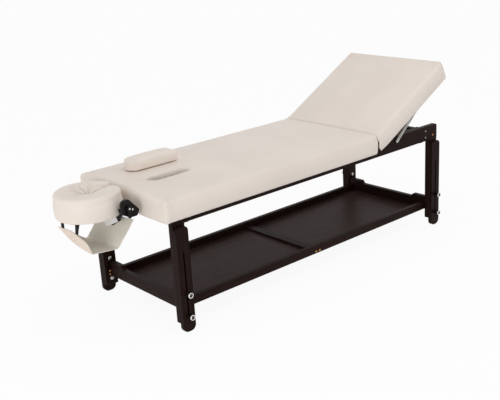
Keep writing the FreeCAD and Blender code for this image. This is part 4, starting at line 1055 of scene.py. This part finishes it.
# %% A strap along a path
FLAT_RING = np.array([(-0.5, 0.2), (-0.47, 0.5), (0, 0.5), (0.47, 0.5), (0.5, 0.2),
                      (0.5, -0.2), (0.47, -0.5), (0, -0.5), (-0.47, -0.5), (-0.5, -0.2)])


def run_of(line):
    """How far along a line each of its points lies."""
    return np.concatenate([[0], np.cumsum(np.linalg.norm(np.diff(line, axis=0), axis=1))])


def on_line(line, runs):
    """Places on a line, given how far along it they lie."""
    return np.column_stack([np.interp(runs, run_of(line), line[:, k]) for k in range(3)])


def smooth_path(points, count):
    """A line of evenly spread points on a smooth curve through a few."""
    curve = bpy.data.curves.new("path", "CURVE")
    curve.dimensions = "3D"
    spline = curve.splines.new("NURBS")
    spline.points.add(len(points) - 1)
    for spot, point in zip(spline.points, points):
        spot.co = (*point, 1)
    spline.order_u = 3
    spline.use_endpoint_u = True
    curve.resolution_u = 24
    holder = bpy.data.objects.new("path", curve)
    line = np.array([v.co[:] for v in bpy.data.meshes.new_from_object(holder).vertices])
    bpy.data.objects.remove(holder)
    return on_line(line, np.linspace(0, run_of(line)[-1], count))


def strap_piece(name, path, widths, across, thick, finish):
    """A flat band along a path; across says which way its width lies at both ends."""
    line = smooth_path(path, 48)
    along = unit(np.gradient(line, axis=0))
    share = np.linspace(0, 1, len(line))
    wide_way = np.outer(1 - share, across[0]) + np.outer(share, across[1])
    wide_way = unit(wide_way - along * (wide_way * along).sum(axis=1)[:, None])
    flat_way = np.cross(along, wide_way)
    width = np.interp(share, np.linspace(0, 1, len(widths)), widths)
    rings = (line[:, None] + FLAT_RING[:, :1] * (wide_way * width[:, None])[:, None]
             + FLAT_RING[:, 1:] * flat_way[:, None] * thick)
    piece = skin(name, rings, (finish,))
    spots = np.column_stack([np.outer(width, FLAT_RING[:, 0]).ravel(), np.repeat(run_of(line), len(FLAT_RING))])
    corner = np.empty(len(piece.data.loops), dtype=np.int32)
    piece.data.loops.foreach_get("vertex_index", corner)
    piece.data.uv_layers.new(name="flat").data.foreach_set("uv", spots[corner].astype(np.float32).ravel())
    return piece


print("strap section", len(FLAT_RING), "points")

# %% [markdown]
# Two straps go straight down inside the leaf, the second folded narrow where it is sewn on, and two go from
# the ears of the plate down into the trough. A blank sewn tab lies on the near one.

# %% Straps
TILT_X = MID - 1.075
ALONG_V = (-math.sin(SLING_TURN), math.cos(SLING_TURN), 0)
LEANING, UPRIGHT = (-0.63, 0.555, 0.546), (-0.13, 0.39, 0.91)
far_strap = [on_sling(*spot) for spot in (
    (-0.0862, 0.090, 0.495), (-0.0868, 0.088, 0.512), (-0.0885, 0.084, 0.535), (-0.088, 0.080, 0.577))]
fold_strap = [on_sling(*spot) for spot in (
    (-0.0805, -0.001, 0.474), (-0.0815, -0.004, 0.494), (-0.0865, -0.020, 0.530), (-0.088, -0.030, 0.577))]
near_strap = [(TILT_X - 0.0165, -0.152, 0.598), (TILT_X - 0.019, -0.149, 0.580),
              (TILT_X - 0.005, -0.098, 0.549), on_sling(0.1310, -0.048, 0.514),
              on_sling(0.1200, -0.014, 0.495), on_sling(0.1215, 0.008, 0.478)]
deep_strap = [(TILT_X - 0.0165, 0.152, 0.598), (TILT_X - 0.019, 0.150, 0.580),
              (TILT_X - 0.012, 0.138, 0.556), (TILT_X + 0.006, 0.122, 0.530),
              on_sling(0.146, 0.094, 0.507), on_sling(0.132, 0.092, 0.489)]
tab = [on_sling(0.1250, -0.038, 0.5095), on_sling(0.1130, -0.009, 0.4955), on_sling(0.1000, 0.019, 0.4825)]
for name, path, widths, across, thick, finish in (
    ("sling_strap_far", far_strap, (0.022, 0.022), (ALONG_V, ALONG_V), 0.0022, black_webbing),
    ("sling_strap_folded", fold_strap, (0.015, 0.024, 0.046), (ALONG_V, ALONG_V), 0.0024, black_webbing),
    ("sling_strap_near", near_strap, (0.028, 0.028), (LEANING, UPRIGHT), 0.0022, black_webbing),
    ("sling_strap_deep", deep_strap, (0.025, 0.025), (LEANING, ALONG_V), 0.0022, black_webbing),
    ("sling_blank_tab", tab, (0.028, 0.028), (UPRIGHT, UPRIGHT), 0.0046, blank_label),
):
    piece = strap_piece(name, path, widths, across, thick, finish)
    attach(piece, "headrest_tilt")
    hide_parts("sling_straps")
    print(name, len(piece.data.polygons), "faces")

# %% [markdown]
# A seam is a line laid on the finished cover, found by dropping its points onto the nearest place of the
# mesh. A welt is a thin cord along such a line, and stitches are repeated along it.

# %% Seams and stitches
LIFT, STITCH_STEP, WELT_RADIUS, ASKEW = 0.0002, 0.0048, 0.0013, (0.31, 0.87, 0.22)
STITCH_RINGS = np.array([[(r * math.cos(a), 0.7 * r * math.sin(a), z) for a in SPOKES[::9]] for r, z in (
    (0.0001, -0.0016), (0.0003, -0.0014), (0.00042, -0.0008), (0.00044, 0), (0.00042, 0.0008),
    (0.0003, 0.0014), (0.0001, 0.0016))])
stitch = skin("stitch", STITCH_RINGS, (thread,))
scene.collection.objects.unlink(stitch)


def cover_tree(piece):
    """A cover's faces, sorted for quick searches."""
    return BVHTree.FromPolygons([vert.co[:] for vert in piece.data.vertices],
                                [polygon.vertices[:] for polygon in piece.data.polygons])


def laid_on(tree, line):
    """The points of a line put on the nearest place of a cover and lifted off it by a hair."""
    spots = []
    for point in line:
        place, normal = tree.find_nearest(Vector(point))[:2]
        spots.append(place + normal * LIFT)
    return np.array(spots)


def welt(name, line):
    """A thin cord of vinyl along a line."""
    line = evened(line.copy(), 2)
    along = unit(np.gradient(line, axis=0))
    side = unit(np.cross(along, ASKEW))
    other = np.cross(along, side)
    turns = np.arange(10) * 2 * math.pi / 10
    rings = line[:, None] + WELT_RADIUS * (
        np.cos(turns)[:, None] * side[:, None] + np.sin(turns)[:, None] * other[:, None])
    return skin(name, rings, (cream_vinyl,))


def stitched(name, lines, body, seed):
    """A stitch at every step along some lines."""
    rows = [on_line(line, np.arange(STITCH_STEP / 2, run_of(line)[-1], STITCH_STEP)) for line in lines]
    ways = [np.gradient(row, axis=0) for row in rows]
    piece = repeated(name, np.concatenate(rows), np.concatenate(ways), stitch, thread, seed)
    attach(piece, body)
    print(name, len(piece.data.polygons), "faces")


# %% [markdown]
# A welt runs down each free corner of the two cushions, where two pieces of vinyl are sewn together, with a
# row of stitches on both sides of it.

# %% Corner seams
def sew_corners(name, cover, body, corner, raised, slant, seed):
    """Welts and stitches down the corners of a cushion; slant says which way is beside the welt."""
    tree = cover_tree(cover)
    rows = []
    for side, y in (("near", -1), ("far", 1)):
        line = np.array([(corner[0], y * corner[1], z) for z in np.linspace(0.640, 0.546, 40)])
        line = laid_on(tree, turned_about_hinge(line, -raised))
        piece = welt(f"{name}_welt_{side}", line)
        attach(piece, body)
        rows += [laid_on(tree, line + np.array([shift, slant * y * shift, 0])) for shift in (-0.006, 0.006)]
    stitched(f"{name}_stitches", rows, body, seed)


sew_corners("mattress", mattress, "frame", (MID - 1.010, 0.370), 0.0, -1, 11)
sew_corners("backrest", backrest, "backrest", (FREE_END + 0.006, 0.362), RAISED, 1, 12)

# %% [markdown]
# The foot of the pillow is stitched on the side away from the table, and the sling's hems all round, inside
# and outside.

# %% Hems
around = np.linspace(math.radians(68), math.radians(292), 300)
hem = np.column_stack([PILLOW_X + 0.17 * np.cos(around), 0.17 * np.sin(around), np.full(300, 0.570)])
stitched("pillow_stitches", [laid_on(cover_tree(pillow), hem)], "headrest_tilt", 13)
grids = [middle + sense * face * (CLOTH / 2 + LIFT) for sense in (1, -1)]
hems = [grid[:, k] for grid in grids for k in (2, -3)] + [grid[k] for grid in grids for k in (1, -2)]
stitched("sling_stitches", hems, "headrest_tilt", 14)

# %% [markdown]
# A pale floor, a white surround and three broad soft lamps. The floor and the surround look white to the
# camera and in reflections, and only the lamps and a dim even world light the table itself.

# %% Floor, surround and lamps
WHITE, DIM, FLOOR_GLOW, FLOOR_HALF = (1, 1, 1, 1), 0.66, 0.93, 30
scene.world = bpy.data.worlds.new("white_surround")
scene.world.use_nodes = True
sky = Sketch(scene.world.node_tree, scene.world.node_tree.nodes["Background"])
sky.end.inputs["Color"].default_value = WHITE
sky.feed("Strength", sky.node("ShaderNodeMapRange", (), {"Value": sky.seen(), "To Min": DIM, "To Max": 1.0}))

paper = Finish("pale_floor", Roughness=0.9)
paper.feed("Base Color", paper.mix(paper.noise(2.0, 2), ink(246, 246, 246), ink(250, 250, 250)))
glow = paper.node("ShaderNodeEmission", (), {"Color": WHITE})
plain = Tint(paper, paper.end.outputs[0])
paper.end = paper.tree.nodes["Material Output"]
paper.feed("Surface", paper.node("ShaderNodeMixShader", (), {0: paper.seen() * FLOOR_GLOW, 1: plain, 2: glow}))
mesh = bpy.data.meshes.new("studio_floor")
mesh.from_pydata([(FLOOR_HALF * x, FLOOR_HALF * y, 0) for x, y in ((-1, -1), (1, -1), (1, 1), (-1, 1))],
                 [], [(0, 1, 2, 3)])
mesh.materials.append(paper.material)
new_piece("studio_floor", mesh)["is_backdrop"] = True


def lamp(name, place, aim, size, watts):
    light = bpy.data.lights.new(name, "AREA")
    light.shape = "RECTANGLE"
    light.size, light.size_y = size
    light.energy = watts
    stand = bpy.data.objects.new(name, light)
    way = Vector(aim) - Vector(place)
    stand.matrix_world = Matrix.Translation(place) @ way.to_track_quat("-Z", "Y").to_matrix().to_4x4()
    scene.collection.objects.link(stand)


lamp("key_lamp", (-3.7, -1.3, 0.90), (-0.9, 0, 0.50), (1.6, 1.1), 26)
lamp("top_lamp", (0.2, -1.2, 3.2), (0.1, 0, 0.5), (3.0, 2.0), 17)
lamp("side_lamp", (1.6, -3.6, 1.4), (0.4, 0, 0.6), (2.0, 1.4), 5)

# %% [markdown]
# Last, the size of the dressed table's box is printed.

# %% Finish
low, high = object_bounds()
print("sizes", [round(v, 3) for v in high - low])
